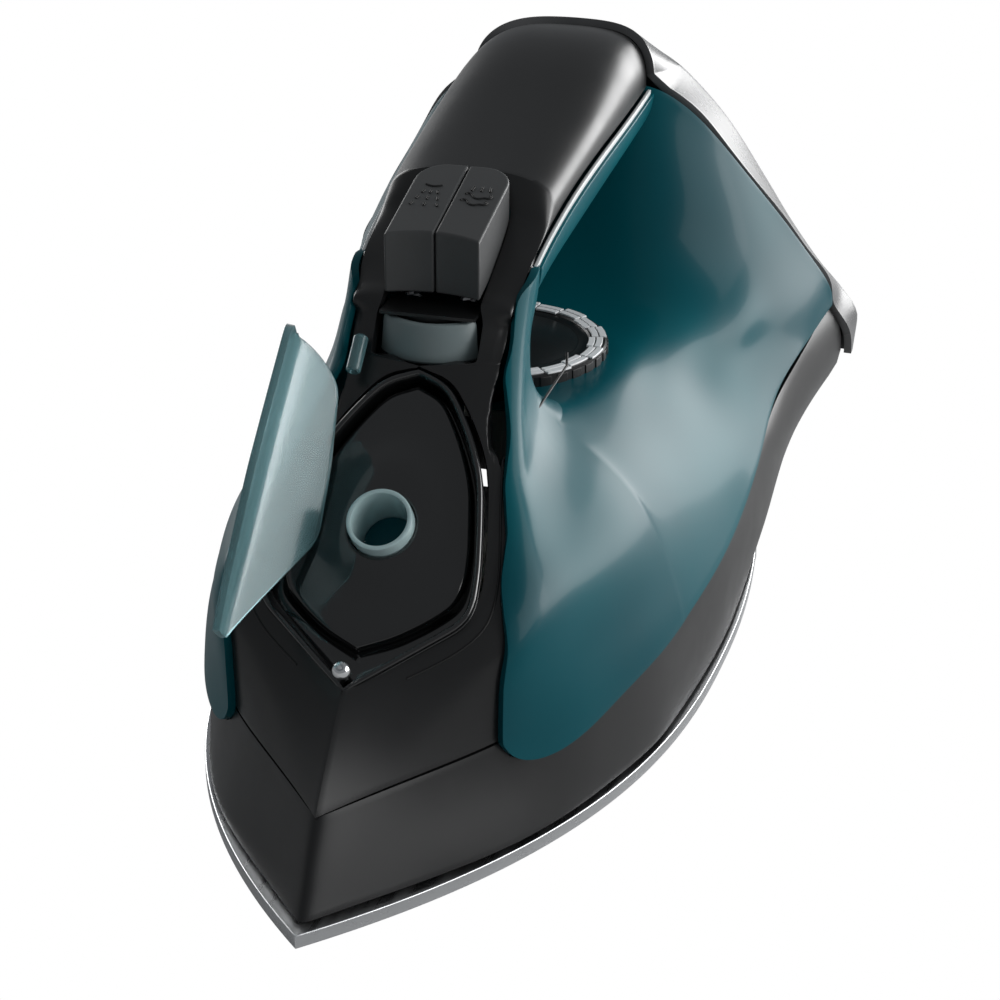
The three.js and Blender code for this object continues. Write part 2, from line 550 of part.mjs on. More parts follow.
// ---- Recess, fill tube and spray nozzle ------------------------------------------------------
const dish = cut(
  faceCut(recessLine(gap), dishFloor, -0.8),
  faceCut(recessLine(gap + dishWall), -recessDepth, 5),
);
const domeRadius = 15;
const dome = faceCut(mirrored([[0, tubeS - 19], [9, tubeS - 14], [domeRadius, tubeS], [12, tubeS + 13],
  [6, tubeS + 22], [0, tubeS + 24]]), -recessDepth - 0.5, -recessDepth + 2.2);
const recessInsert = cut(join(dish, dome),
  faceDisc(tubeOuter + gap, tubeS, -20, 10), faceDisc(nozzleStem + gap, nozzleS, -20, 10, 12), hingeRoom);
const fillTube = cut(
  faceDisc(tubeOuter, tubeS, -recessDepth - 9, tubeProud),
  faceDisc(tubeBore, tubeS, -recessDepth - 12, tubeProud + 2),
);
const nozzleN = 3.6;
const nozzleBall = new THREE.SphereGeometry(2.1, 16, 10);
nozzleBall.applyMatrix4(new THREE.Matrix4().makeTranslation(...facePoint(0, nozzleS, nozzleN).toArray()));
const sprayNozzle = cut(
  join(solid(nozzleBall), faceDisc(nozzleStem, nozzleS, -recessDepth - 4, nozzleN - 0.5, 12)),
  faceDisc(0.5, nozzleS, nozzleN, nozzleN + 5, 8));

// ---- Filler lid, modelled open ---------------------------------------------------------------
// Half of the closed lid is a sloping leaf: [distance from the ridge along the leaf, s].
const lidTopS = 83;
const lidTipS = 10.5;
const lidLeaf = [[0, lidTipS], [3, lidTipS], [20.3, 41], [19, 58], [15.8, 77], [8.5, 81.5], [0, lidTopS]];
const lidEdge = 13.5 + 0.6;      // reach of the leaf's top corner from the ridge
const lidRidgeN = lidEdge * Math.tan(lidSlope) + 0.5;
function leaf(side) {
  const shape = new THREE.Shape(lidLeaf.map(([d, s]) => new THREE.Vector2(d * side, s)));
  const geometry = new THREE.ExtrudeGeometry(shape, { depth: lidThick, bevelEnabled: false });
  geometry.rotateY(side * lidSlope);
  return solid(geometry.translate(0, 0, lidRidgeN));
}
const hingeKnuckle = new THREE.CylinderGeometry(hingeRadius, hingeRadius, 9, 12);
hingeKnuckle.translate(lidHingeX, lidTopS + 2.6, 0.5);
const ridgeFill = sideCut([[lidTipS, lidRidgeN], [lidTopS, lidRidgeN], [lidTopS, lidRidgeN + lidThick * 1.1],
  [lidTipS, lidRidgeN + lidThick * 1.1]], -0.9, 0.9);
const lidArm = sideCut([[lidTopS - 5, -0.6], [lidTopS + 2, -0.6], [lidTopS + 2, 1.6], [lidTopS - 5, 1.6]],
  lidHingeX - 1.6, lidHingeX + 3);
const lidTurn = new THREE.Matrix4().makeTranslation(lidHingeX, 0, 0.5)
  .multiply(new THREE.Matrix4().makeRotationY(-THREE.MathUtils.degToRad(lidOpen)))
  .multiply(new THREE.Matrix4().makeTranslation(-lidHingeX, 0, -0.5));
const closedLid = join(leaf(1), leaf(-1), ridgeFill, lidArm, solid(hingeKnuckle));
const lid = closedLid.transform(new THREE.Matrix4().multiplyMatrices(onFace, lidTurn).toArray());

// ---- Spray and steam buttons, their pumps and springs ------------------------------------------
const buttonTopLine = spread(buttonFrontY, buttonFrontY + buttonDepth, 8).map((y) => [y, handleTop(y) + 0.9]);
const buttonBlock = sideCut([...buttonTopLine, [buttonFrontY + buttonDepth, buttonZ0 + 6],
  [buttonFrontY + 6, buttonZ0 + 6], [buttonFrontY + 6, buttonZ0], [buttonFrontY, buttonZ0]]);
const pumpX = 6.6;
const pumpY = saddleFrontY - 7.7;
const pumpRadius = 4.1;
const pumpZ = [83.5, 102.6];
const plungerRadius = 1.3;
const plungerZ0 = pumpZ[0] + 12;
const buttonHollow = (x0, x1) => box(x0 + 1.6, x1 - 1.6,
  buttonFrontY + 5.7, buttonFrontY + buttonDepth - 1.6, 100, buttonZ0 + 11);
function button(side) {
  const [x0, x1] = side > 0 ? [0.15, buttonHalf] : [-buttonHalf, -0.15];
  const cap = cut(buttonBlock.intersect(box(x0, x1, -60, 20, 100, 160)), buttonHollow(x0, x1));
  const stem = disc(plungerRadius, side * pumpX, pumpY, plungerZ0, buttonZ0 + 12, 12);
  return join(cap, stem);
}
const pump = (side) => cut(
  disc(pumpRadius, side * pumpX, pumpY, ...pumpZ, 20),
  disc(plungerRadius + gap, side * pumpX, pumpY, plungerZ0 - buttonTravel - 1, pumpZ[1] + 1, 12),
);
const springRadius = 2.2;
const springWire = 0.45;
const springZ = [pumpZ[1] + springWire + gap, buttonZ0 + 11 - springWire - gap];
class Coil extends THREE.Curve {
  constructor(x) {
    super();
    this.x = x;
  }
  getPoint(t, target = new THREE.Vector3()) {
    const angle = t * 4 * 2 * Math.PI;
    return target.set(this.x + springRadius * Math.cos(angle), pumpY + springRadius * Math.sin(angle),
      springZ[0] + (springZ[1] - springZ[0]) * t);
  }
}
const spring = (side) => bar(new Coil(side * pumpX), springWire, 36, 4);
const trayZ = [104.95, 105.7];
const trayFrontY = valveY - selectorRadius + selectorBand + gap;
const tray = cut(
  box(-buttonHalf, buttonHalf, trayFrontY, saddleFrontY - wall - gap, ...trayZ),
  ...[-1, 1].map((side) => disc(springRadius + springWire + gap, side * pumpX, pumpY, 100, 110, 14)),
);
const apronArc = spread(-54, 54, 10).map(THREE.MathUtils.degToRad);
const apronLine = (radius) => apronArc.map((a) => [radius * Math.sin(a), valveY - radius * Math.cos(a)]);
const apronRadius = selectorRadius - selectorBand - gap;
const apron = planCut([...apronLine(apronRadius), ...apronLine(apronRadius - 0.9).reverse()],
  selectorZ[0] + 2.2 + gap, trayZ[0] + 0.2);

// ---- Steam selector in front of the buttons, and its valve rod ----------------------------------
const selectorArc = spread(-52, 52, 10).map(THREE.MathUtils.degToRad);
const arcLine = (radius) => selectorArc.map((a) => [radius * Math.sin(a), valveY - radius * Math.cos(a)]);
const selector = cut(join(
  planCut([...arcLine(selectorRadius), ...arcLine(selectorRadius - selectorBand).reverse()], ...selectorZ),
  box(-2.2, 2.2, valveY - selectorRadius + 1, valveY, selectorZ[0], selectorZ[0] + 2.2),
  disc(selectorHub, 0, valveY, selectorZ[0], selectorZ[0] + 4, 16),
), disc(valveRod + gap, 0, valveY, 90, 110, 12));
const rod = disc(valveRod, 0, valveY, coverZ0 - 3, selectorZ[0] + 4, 12);

// ---- Temperature dial -----------------------------------------------------------------------------
const dialZ0 = dialTopZ - dialHeight;
const knurls = Array.from({ length: 24 }, (_, i) => {
  const a = (i / 24) * 2 * Math.PI;
  return disc(1, (dialRadius + 0.45) * Math.cos(a), dialY + (dialRadius + 0.45) * Math.sin(a), dialZ0 - 1,
    dialTopZ + 1, 4);
});
const ringOuter = dialRadius - 0.9;
const ringInner = dialRadius - 4.2;
const dialKnob = cut(disc(dialRadius, 0, dialY, dialZ0, dialTopZ, 48), ...knurls,
  cut(disc(ringOuter + 0.3, 0, dialY, dialTopZ - 1, dialTopZ + 1, 32),
    disc(ringInner - 0.3, 0, dialY, dialTopZ - 2, dialTopZ + 2, 32)));
const dialRing = cut(disc(ringOuter, 0, dialY, dialTopZ - 0.7, dialTopZ + 0.3, 32),
  disc(ringInner, 0, dialY, dialTopZ - 2, dialTopZ + 2, 32));
const dialShaft = disc(shaftRadius, 0, dialY, thermostatZ1 + gap, dialZ0 - 0.05, 16);

// ---- Small pieces -----------------------------------------------------------------------------------
const marker = cut(planCut([[28, -13], [34, 0], [40, -3], [44, -10]], 40, 80).intersect(bodyForm(-1.8)),
  bodyForm(-gap));
const hoseRadius = 1.4;
const hoseLine = (side) => [[pumpX, pumpY - pumpRadius - gap, 87], [8.6, -31, 87], [10, -35, 86.5],
  [10.5, -38, 84]].map(([x, y, z]) => new THREE.Vector3(side * x, y, z));
const hose = (side) => bar(new THREE.CatmullRomCurve3(hoseLine(side)), hoseRadius, 8, 6);
const terminal = box(-10, 10, 107, 113, 88, 97);

// ---- The assembly --------------------------------------------------------------------------------------
const iron = new THREE.Group();
function add(name, manifold, look) {
  const mesh = new THREE.Mesh(geometryOf(manifold), finishes[look]());
  mesh.name = name;
  iron.add(mesh);
}
add('soleplate', sole, 'steel');
add('heater_casting', heater, 'aluminium');
add('heating_element', element, 'steel');
add('steam_chamber_cover', chamberCover, 'aluminium');
add('sole_insulator', insulator, 'rubber');
add('thermostat', thermostat, 'white');
add('thermal_fuse', fuse, 'white');
add('skirt', skirt, 'black');
add('water_tank', tank, 'teal');
add('upper_housing', upperHousing, 'black');
add('handle_liner', handleLiner, 'teal');
add('grip_trim_left', trimLeft, 'greyGrip');
add('grip_trim_right', trimRight, 'greyGrip');
add('heel_cover', heelCover, 'heel');
add('cord_inlet', cordInlet, 'rubber');
add('indicator_lens', lens, 'clear');
add('terminal_block', terminal, 'white');
add('recess_insert', recessInsert, 'gloss');
add('fill_tube', fillTube, 'paleTeal');
add('spray_nozzle', sprayNozzle, 'chrome');
add('fill_lid', lid, 'paleTeal');
add('button_guide', join(tray, apron), 'black');
add('steam_selector', selector, 'collar');
add('steam_valve_rod', rod, 'brass');
add('temperature_dial', dialKnob, 'black');
add('dial_ring', dialRing, 'silver');
add('dial_shaft', dialShaft, 'white');
add('dial_pointer', marker, 'greyGrip');
screws.forEach((screw, i) => add(`heater_screw_${i + 1}`, screw, 'steel'));
for (const [side, hand, job] of [[-1, 'left', 'spray'], [1, 'right', 'steam']]) {
  add(`heel_foot_${hand}`, footBlock(side, 0), 'rubber');
  add(`${job}_button`, button(side), 'button');
  add(`${job}_pump`, pump(side), 'white');
  add(`${job}_pump_spring`, spring(side), 'steel');
  add(`${job}_hose`, hose(side), 'white');
}

export default iron;
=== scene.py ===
# A household steam iron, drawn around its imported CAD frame.
# Sizes are in millimetres in the same frame as the CAD (-Y to the nose, +Z up) and become metres in place().
import math

import bmesh
import bpy
import numpy as np
from mathutils import Matrix, Vector
from mathutils.bvhtree import BVHTree


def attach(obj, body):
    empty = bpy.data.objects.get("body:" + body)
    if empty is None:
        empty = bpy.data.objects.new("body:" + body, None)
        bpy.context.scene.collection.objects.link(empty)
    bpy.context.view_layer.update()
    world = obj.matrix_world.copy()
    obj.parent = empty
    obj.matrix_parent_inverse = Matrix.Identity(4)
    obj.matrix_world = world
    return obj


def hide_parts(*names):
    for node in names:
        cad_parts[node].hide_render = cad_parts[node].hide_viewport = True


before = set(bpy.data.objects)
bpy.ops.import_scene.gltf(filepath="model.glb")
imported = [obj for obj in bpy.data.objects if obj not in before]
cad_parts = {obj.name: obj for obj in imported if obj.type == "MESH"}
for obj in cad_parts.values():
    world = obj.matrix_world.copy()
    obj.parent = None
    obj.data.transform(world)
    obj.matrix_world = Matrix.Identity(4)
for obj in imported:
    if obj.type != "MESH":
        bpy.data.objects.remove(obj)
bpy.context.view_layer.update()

MM = 0.001

# ---- Driving sizes, as on the CAD ------------------------------------------------------
NOSE_Y = -134.0
HEEL_Y = 134.0
SOLE_HALF = 59.0
SOLE_LENGTH = 229.0
SOLE_WIDEST = 158.0
SOLE_POWER = 2.58
SOLE_NARROWING = 7.0
SOLE_CORNER = 16.0
SOLE_THICK = 3.2
SKIRT_Z = 4.2
SKIRT_TIP_Y = -131.6
CAP_TIP_Y = -119.6
CAP_Z = 23.0
CORNER_Y = -84.3
CORNER_Z = 27.6
FACE_TIP = (-104.6, 39.6)
FACE_ANGLE = math.radians(41.7)
FACE_LENGTH = 85.5
FINGER_Y = -14.7
HANDLE_REAR_Y = 85.5
RIM_TOP_Y = 87.5
RIM_TOP_Z = 125.0
RIM_LEAN = 0.5
BUTTON_HALF = 11.1
BUTTON_FRONT_Y = -31.5
BUTTON_BACK_Y = -0.5
BUTTON_Z = 108.4
DIAL_Y = 25.4
DIAL_TOP_Z = 77.5
GAP = 0.35
WALL = 2.0


# ---- Lines and curves ------------------------------------------------------------------
def spline(points):
    """A smooth line through [t, value, ...] points: a natural cubic spline, straight past its ends."""
    table = np.array(points, float)
    t, v = table[:, 0], table[:, 1:]
    n = len(t)
    h = np.diff(t)
    a = np.zeros((n, n))
    b = np.zeros((n, v.shape[1]))
    a[0, 0] = a[-1, -1] = 1
    for i in range(1, n - 1):
        a[i, i - 1:i + 2] = h[i - 1], 2 * (h[i - 1] + h[i]), h[i]
        b[i] = 3 * ((v[i + 1] - v[i]) / h[i] - (v[i] - v[i - 1]) / h[i - 1])
    c = np.linalg.solve(a, b)
    slope = (v[1:] - v[:-1]) / h[:, None] - h[:, None] * (2 * c[:-1] + c[1:]) / 3
    bend = (c[1:] - c[:-1]) / (3 * h[:, None])
    last = slope[-1] + (c[-2] + c[-1]) * h[-1]

    def at(x):
        x = np.asarray(x, float)
        flat = x.ravel()
        i = np.clip(np.searchsorted(t, flat) - 1, 0, n - 2)
        d = np.clip(flat, t[0], t[-1]) - t[i]
        out = v[i] + d[:, None] * (slope[i] + d[:, None] * (c[i] + d[:, None] * bend[i]))
        out += np.minimum(flat - t[0], 0)[:, None] * slope[0]
        out += np.maximum(flat - t[-1], 0)[:, None] * last
        out = out.reshape(*x.shape, v.shape[1])
        return out[..., 0] if v.shape[1] == 1 else out
    return at


def gentle(points):
    """A smooth line through [t, value, ...] points that never swings past them, straight past its ends."""
    table = np.array(points, float)
    t, v = table[:, 0], table[:, 1:]
    rise = np.diff(v, axis=0) / np.diff(t)[:, None]
    both = rise[:-1] * rise[1:]
    total = rise[:-1] + rise[1:]
    inner = np.where(both > 0, 2 * both / np.where(total == 0, 1, total), 0)
    slope = np.concatenate([rise[:1], inner, rise[-1:]])

    def at(x):
        x = np.asarray(x, float)
        flat = x.ravel()
        held = np.clip(flat, t[0], t[-1])
        i = np.clip(np.searchsorted(t, held, side="right") - 1, 0, len(t) - 2)
        span = (t[i + 1] - t[i])[:, None]
        u = (held - t[i])[:, None] / span
        bend = u * (1 - u) * span * (slope[i] * (1 - u) - slope[i + 1] * u)
        out = v[i] + (v[i + 1] - v[i]) * u * u * (3 - 2 * u) + bend
        past = np.minimum(flat - t[0], 0)[:, None] * slope[0]
        out += past + np.maximum(flat - t[-1], 0)[:, None] * slope[-1]
        out = out.reshape(*x.shape, v.shape[1])
        return out[..., 0] if v.shape[1] == 1 else out
    return at


def relaxed(points, times):
    """The same net with its inner points eased towards their neighbours."""
    points = np.array(points, float)
    for _ in range(times):
        around = points[:-2, 1:-1] + points[2:, 1:-1] + points[1:-1, :-2] + points[1:-1, 2:]
        points[1:-1, 1:-1] = points[1:-1, 1:-1] * 0.4 + around * 0.15
    return points


def through(points, count):
    """Points at even steps of length along the spline through 2-D or 3-D points."""
    points = np.array(points, float)
    t = np.r_[0, np.cumsum(np.linalg.norm(np.diff(points, axis=0), axis=1))]
    u = np.linspace(0, 1, count) * t[-1]
    return spline(np.c_[t, points])(u)


def polyline(points, count):
    """Points at even steps along straight runs."""
    points = np.array(points, float)
    t = np.r_[0, np.cumsum(np.linalg.norm(np.diff(points, axis=0), axis=1))]
    u = np.linspace(0, t[-1], count)
    return np.stack([np.interp(u, t, points[:, k]) for k in range(points.shape[1])], -1)


def loft(rows, across, along):
    """A smooth net through control rows, each with the same number of points."""
    rows = np.array(rows, float)
    n = rows.shape[1]
    fine = np.array([spline(np.c_[np.arange(n), row])(np.linspace(0, n - 1, across)) for row in rows])
    step = np.linalg.norm(np.diff(fine, axis=0), axis=2).mean(axis=1)
    t = np.r_[0, np.cumsum(step)]
    u = np.linspace(0, t[-1], along)
    return np.stack([spline(np.c_[t, fine[:, k]])(u) for k in range(across)], axis=1)


# ---- Outer form of the body ------------------------------------------------------------
FACE_TOP = (FACE_TIP[0] + FACE_LENGTH * math.cos(FACE_ANGLE),
            FACE_TIP[1] + FACE_LENGTH * math.sin(FACE_ANGLE))


RIDGE = gentle([[SKIRT_Z, SKIRT_TIP_Y], [CAP_Z, CAP_TIP_Y], [FACE_TIP[1], FACE_TIP[0]]])


def front_y(z):
    face = FACE_TIP[0] + (z - FACE_TIP[1]) / math.tan(FACE_ANGLE)
    hood = FACE_TOP[0] + (z - FACE_TOP[1]) * 0.6
    return np.where(z < FACE_TIP[1], RIDGE(z), np.where(z < FACE_TOP[1], face, hood))


rear_y = gentle([[SKIRT_Z, 108], [22, 113], [34, 131], [42, 133.6], [54, 133.6], [66, 129], [78, 124.5],
                 [92, 120], [108, 115], [126, 108]])
STATIONS = [
    (front_y, lambda z: 0 * z),
    (gentle([[SKIRT_Z, CORNER_Y], [48, -84], [66, -71], [78, -58], [92, -42], [108, -29], [126, -20]]),
     gentle([[SKIRT_Z, 35.8], [27.6, 30.3], [40, 31], [54, 32], [66, 28.8], [78, 25.3], [92, 22.6],
             [108, 20.5], [126, 20]])),
    (gentle([[SKIRT_Z, -60], [54, -60], [66, -50], [78, -38], [92, -26], [126, -8]]),
     gentle([[SKIRT_Z, 46.2], [28, 44.5], [40, 42.5], [54, 40], [66, 33.5], [78, 24], [88, 18.6],
             [96, 17.8], [108, 19.3], [126, 20]])),
    (gentle([[SKIRT_Z, -25], [66, -25], [78, -16], [92, -8], [126, 5]]),
     gentle([[SKIRT_Z, 55], [28, 54.5], [40, 51.5], [54, 46.5], [66, 37], [74, 26], [80, 19.8],
             [88, 17.2], [98, 17.4], [108, 19.5], [126, 20]])),
    (lambda z: 25 + 0 * z,
     gentle([[SKIRT_Z, 57.8], [28, 59.8], [40, 56.5], [54, 48.5], [66, 38], [78, 28], [92, 24], [126, 20]])),
    (lambda z: 60 + 0 * z,
     gentle([[SKIRT_Z, 56.4], [28, 60.8], [40, 59.8], [54, 52], [66, 42], [78, 34], [92, 30], [126, 20]])),
    (lambda z: 88 + 0 * z,
     gentle([[SKIRT_Z, 53.2], [28, 60], [40, 62.5], [54, 60], [66, 54], [78, 49], [92, 42], [108, 31],
             [126, 21]])),
    (rear_y,
     gentle([[SKIRT_Z, 45.4], [22, 53], [34, 63.5], [42, 68.5], [50, 69], [58, 65.8], [66, 61], [78, 54.3],
             [92, 45.8], [108, 35.8], [120, 27.5], [126, 22]])),
]
BODY_Y = np.arange(-136, 136.1, 1.0)
BODY_Z = np.arange(3, 128.1, 1.0)


def body_table():
    """Half widths on a grid of heights and places along the body, eased both ways."""
    table = []
    for z in BODY_Z:
        line = [[float(y(np.array(z))), float(w(np.array(z)))] for y, w in STATIONS]
        table.append(gentle(line)(BODY_Y))
    table = np.array(table)
    for reach in (5, 7):
        kernel = np.r_[np.arange(1, reach + 1), np.arange(reach - 1, 0, -1)].astype(float)
        kernel /= kernel.sum()
        padded = np.pad(table, ((reach - 1, reach - 1), (0, 0)), mode="reflect", reflect_type="odd")
        table = np.stack([np.convolve(column, kernel, "valid") for column in padded.T], axis=0)
    return table


BODY_X = body_table()


def body_x(y, z):
    """Half width of the body at a place (y, z) of its side view."""
    y, z = np.broadcast_arrays(np.asarray(y, float), np.asarray(z, float))
    fy = np.clip((y - BODY_Y[0]), 0, len(BODY_Y) - 1.001)
    fz = np.clip((z - BODY_Z[0]), 0, len(BODY_Z) - 1.001)
    iy, iz = fy.astype(int), fz.astype(int)
    ty, tz = fy - iy, fz - iz
    low = BODY_X[iz, iy] * (1 - ty) + BODY_X[iz, iy + 1] * ty
    high = BODY_X[iz + 1, iy] * (1 - ty) + BODY_X[iz + 1, iy + 1] * ty
    return low * (1 - tz) + high * tz


def body_front(x, z):
    """The y of the body's front surface at a place (x, z) of its front view."""
    x, z = np.broadcast_arrays(np.asarray(x, float), np.asarray(z, float))
    low, high = np.full(x.shape, -135.0), np.full(x.shape, 30.0)
    for _ in range(30):
        middle = (low + high) / 2
        inside = body_x(middle, z) > np.abs(x)
        high = np.where(inside, middle, high)
        low = np.where(inside, low, middle)
    return (low + high) / 2


# ---- Handle form -----------------------------------------------------------------------
handle_seam = gentle([[-60, 97], [-30, 106], [-22, 112], [-3, 118], [24, 122.2], [48, 124], [84, 125.2],
                      [112, 125.5]])
handle_top = spline([[-42, 119], [-31, 123], [0, 128.6], [43, 135.6], [84, 139.4], [98, 135.8], [112, 129.8]])
handle_under = spline([[-60, 88], [FINGER_Y, 100.5], [20, 104.5], [50, 108.5], [80, 111], [112, 111]])
handle_half = spline([[-42, 17], [-31, 18.5], [0, 20.2], [25, 21], [84, 21.6], [112, 20]])


def handle_section(y, angle):
    """A point of the handle's skin: angle 0 is the right seam, 90 degrees the top, -90 the underside."""
    power = 0.74
    c = np.abs(np.cos(angle)) ** power * np.sign(np.cos(angle))
    s = np.abs(np.sin(angle)) ** power * np.sign(np.sin(angle))
    seam = handle_seam(y)
    up, down = handle_top(y) - seam, seam - handle_under(y)
    return np.stack([handle_half(y) * c, y + 0 * c, seam + np.where(s > 0, up, down) * s], -1)


def handle_end(angle):
    """Where the black top of the handle ends: the heel's edge leans back over the crown."""
    return HANDLE_REAR_Y + 11 * np.sin(np.abs(angle)) ** 2


# ---- Frame on the sloping front face -----------------------------------------------------
def on_face(points):
    """[x, s, n] on the face (s up the slope, n out of it) to [x, y, z]."""
    points = np.array(points, float)
    c, s = math.cos(FACE_ANGLE), math.sin(FACE_ANGLE)
    return np.stack([points[..., 0], FACE_TIP[0] + points[..., 1] * c - points[..., 2] * s,
                     FACE_TIP[1] + points[..., 1] * s + points[..., 2] * c], -1)


# ---- Meshes ------------------------------------------------------------------------------
def place(name, verts, faces, material=None, smooth=True):
    mesh = bpy.data.meshes.new(name)
    mesh.from_pydata([tuple(v) for v in np.asarray(verts, float) * MM], [], [tuple(f) for f in faces])
    mesh.validate()
    obj = bpy.data.objects.new(name, mesh)
    bpy.context.scene.collection.objects.link(obj)
    if smooth:
        mesh.shade_smooth()
    if material:
        mesh.materials.append(material)
    return obj


def net(name, points, material=None, closed=False, flip=False):
    """A sheet from a net of points (rows, columns, 3); closed joins its last column to its first."""
    points = np.array(points, float)
    rows, columns = points.shape[:2]
    faces = []
    for r in range(rows - 1):
        for c in range(columns if closed else columns - 1):
            d = (c + 1) % columns
            quad = (r * columns + c, r * columns + d, (r + 1) * columns + d, (r + 1) * columns + c)
            faces.append(quad[::-1] if flip else quad)
    return place(name, points.reshape(-1, 3), faces, material)


def modifier(obj, kind, **settings):
    made = obj.modifiers.new(kind.lower(), kind)
    for key, value in settings.items():
        setattr(made, key, value)
    return made


def mirror(obj):
    return modifier(obj, "MIRROR", use_axis=(True, False, False), use_clip=True, merge_threshold=0.0002)


def thicken(obj, wall=WALL, lip=0.45):
    """Gives a sheet its wall, inward, and rolls the edges where it meets its neighbours."""
    modifier(obj, "SOLIDIFY", thickness=wall * MM, offset=-1, use_even_offset=True, use_rim=True)
    if lip:
        roll(obj, lip)
    return obj


def roll(obj, width, segments=3, angle=38):
    modifier(obj, "BEVEL", width=width * MM, segments=segments, limit_method="ANGLE",
             angle_limit=math.radians(angle), harden_normals=False, use_clamp_overlap=True)
    return obj


def crease_by_angle(obj, degrees=40):
    with bpy.context.temp_override(object=obj, active_object=obj, selected_objects=[obj],
                                   selected_editable_objects=[obj]):
        bpy.ops.object.shade_smooth_by_angle(angle=math.radians(degrees))
    return obj


def prism(name, outline, n0, n1, to_world, material=None, lip=0.3, segments=3):
    """A flat outline with thickness, given as [a, b] points, sent to [x, y, z] by to_world([a, b, n])."""
    outline = np.array(outline, float)
    count = len(outline)
    low = to_world(np.c_[outline, np.full(count, n0)])
    high = to_world(np.c_[outline, np.full(count, n1)])
    faces = [tuple(range(count))[::-1], tuple(range(count, 2 * count))]
    faces += [(i, (i + 1) % count, count + (i + 1) % count, count + i) for i in range(count)]
    obj = place(name, np.r_[low, high], faces, material, smooth=False)
    fix_normals(obj)
    if lip:
        roll(obj, lip, segments)
    obj.data.shade_smooth()
    crease_by_angle(obj)
    return obj


def fix_normals(obj):
    work = bmesh.new()
    work.from_mesh(obj.data)
    bmesh.ops.recalc_face_normals(work, faces=work.faces)
    work.to_mesh(obj.data)
    work.free()


def lathe(name, profile, centre, material=None, sides=96, to_world=None):
    """A turned piece: [radius, height] profile about a centre, on the vertical or on the face's normal."""
    angles = np.linspace(0, 2 * math.pi, sides, endpoint=False)
    rings = [[[r * math.cos(a), r * math.sin(a), h] for a in angles] for r, h in profile]
    rings = np.array(rings) + np.array(centre, float)
    if to_world:
        rings = to_world(rings)
    obj = net(name, rings, material, closed=True)
    ends = []
    for r in (0, len(profile) - 1):
        if profile[r][0] < 1e-6:
            ends.append(r)
    work = bmesh.new()
    work.from_mesh(obj.data)
    bmesh.ops.remove_doubles(work, verts=work.verts, dist=1e-7)
    bmesh.ops.recalc_face_normals(work, faces=work.faces)
    work.to_mesh(obj.data)
    work.free()
    obj.data.shade_smooth()
    crease_by_angle(obj, 35)
    return obj


def tube(name, points, radius, material=None, sides=12):
    """A round bar along a line of points."""
    points = np.array(points, float)
    curve = bpy.data.curves.new(name, "CURVE")
    curve.dimensions = "3D"
    curve.bevel_depth = radius * MM
    curve.bevel_resolution = max(sides // 4 - 1, 1)
    curve.use_fill_caps = True
    line = curve.splines.new("POLY")
    line.points.add(len(points) - 1)
    for slot, point in zip(line.points, points * MM):
        slot.co = (*point, 1)
    made = bpy.data.objects.new(name, curve)
    bpy.context.scene.collection.objects.link(made)
    mesh = bpy.data.meshes.new_from_object(made)
    bpy.data.objects.remove(made)
    obj = bpy.data.objects.new(name, mesh)
    bpy.context.scene.collection.objects.link(obj)
    mesh.shade_smooth()
    if material:
        mesh.materials.clear()
        mesh.materials.append(material)
    return obj


def weld(obj, distance=0.02):
    """Joins the edges of nets that meet, so that one surface runs through them."""
    work = bmesh.new()
    work.from_mesh(obj.data)
    bmesh.ops.remove_doubles(work, verts=work.verts, dist=distance * MM)
    bmesh.ops.recalc_face_normals(work, faces=work.faces)
    work.to_mesh(obj.data)
    work.free()
    obj.data.shade_smooth()


def merged(name, pieces):
    """One object from several."""
    target = pieces[0]
    with bpy.context.temp_override(active_object=target, object=target, selected_objects=pieces,
                                   selected_editable_objects=pieces):
        bpy.ops.object.join()
    target.name = name
    return target


# ---- Materials ---------------------------------------------------------------------------
def new_material(name, color, roughness, metallic=0.0, **sockets):
    material = bpy.data.materials.new(name)
    material.use_nodes = True
    shader = material.node_tree.nodes["Principled BSDF"]
    shader.inputs["Base Color"].default_value = (*color, 1)
    shader.inputs["Roughness"].default_value = roughness
    shader.inputs["Metallic"].default_value = metallic
    for key, value in sockets.items():
        shader.inputs[key.replace("_", " ")].default_value = value
    return material


def grain(material, scale, distance, strength=0.3, stretch=(1, 1, 1)):
    """Fine relief of a moulded or brushed surface; scale is in cells for each metre."""
    nodes, links = material.node_tree.nodes, material.node_tree.links
    where = nodes.new("ShaderNodeTexCoord")
    mapping = nodes.new("ShaderNodeMapping")
    mapping.inputs["Scale"].default_value = stretch
    noise = nodes.new("ShaderNodeTexNoise")
    noise.inputs["Scale"].default_value = scale
    noise.inputs["Detail"].default_value = 3.0
    bump = nodes.new("ShaderNodeBump")
    bump.inputs["Strength"].default_value = strength
    bump.inputs["Distance"].default_value = distance * MM
    links.new(where.outputs["Object"], mapping.inputs["Vector"])
    links.new(mapping.outputs["Vector"], noise.inputs["Vector"])
    links.new(noise.outputs["Fac"], bump.inputs["Height"])
    links.new(bump.outputs["Normal"], nodes["Principled BSDF"].inputs["Normal"])
    return mapping


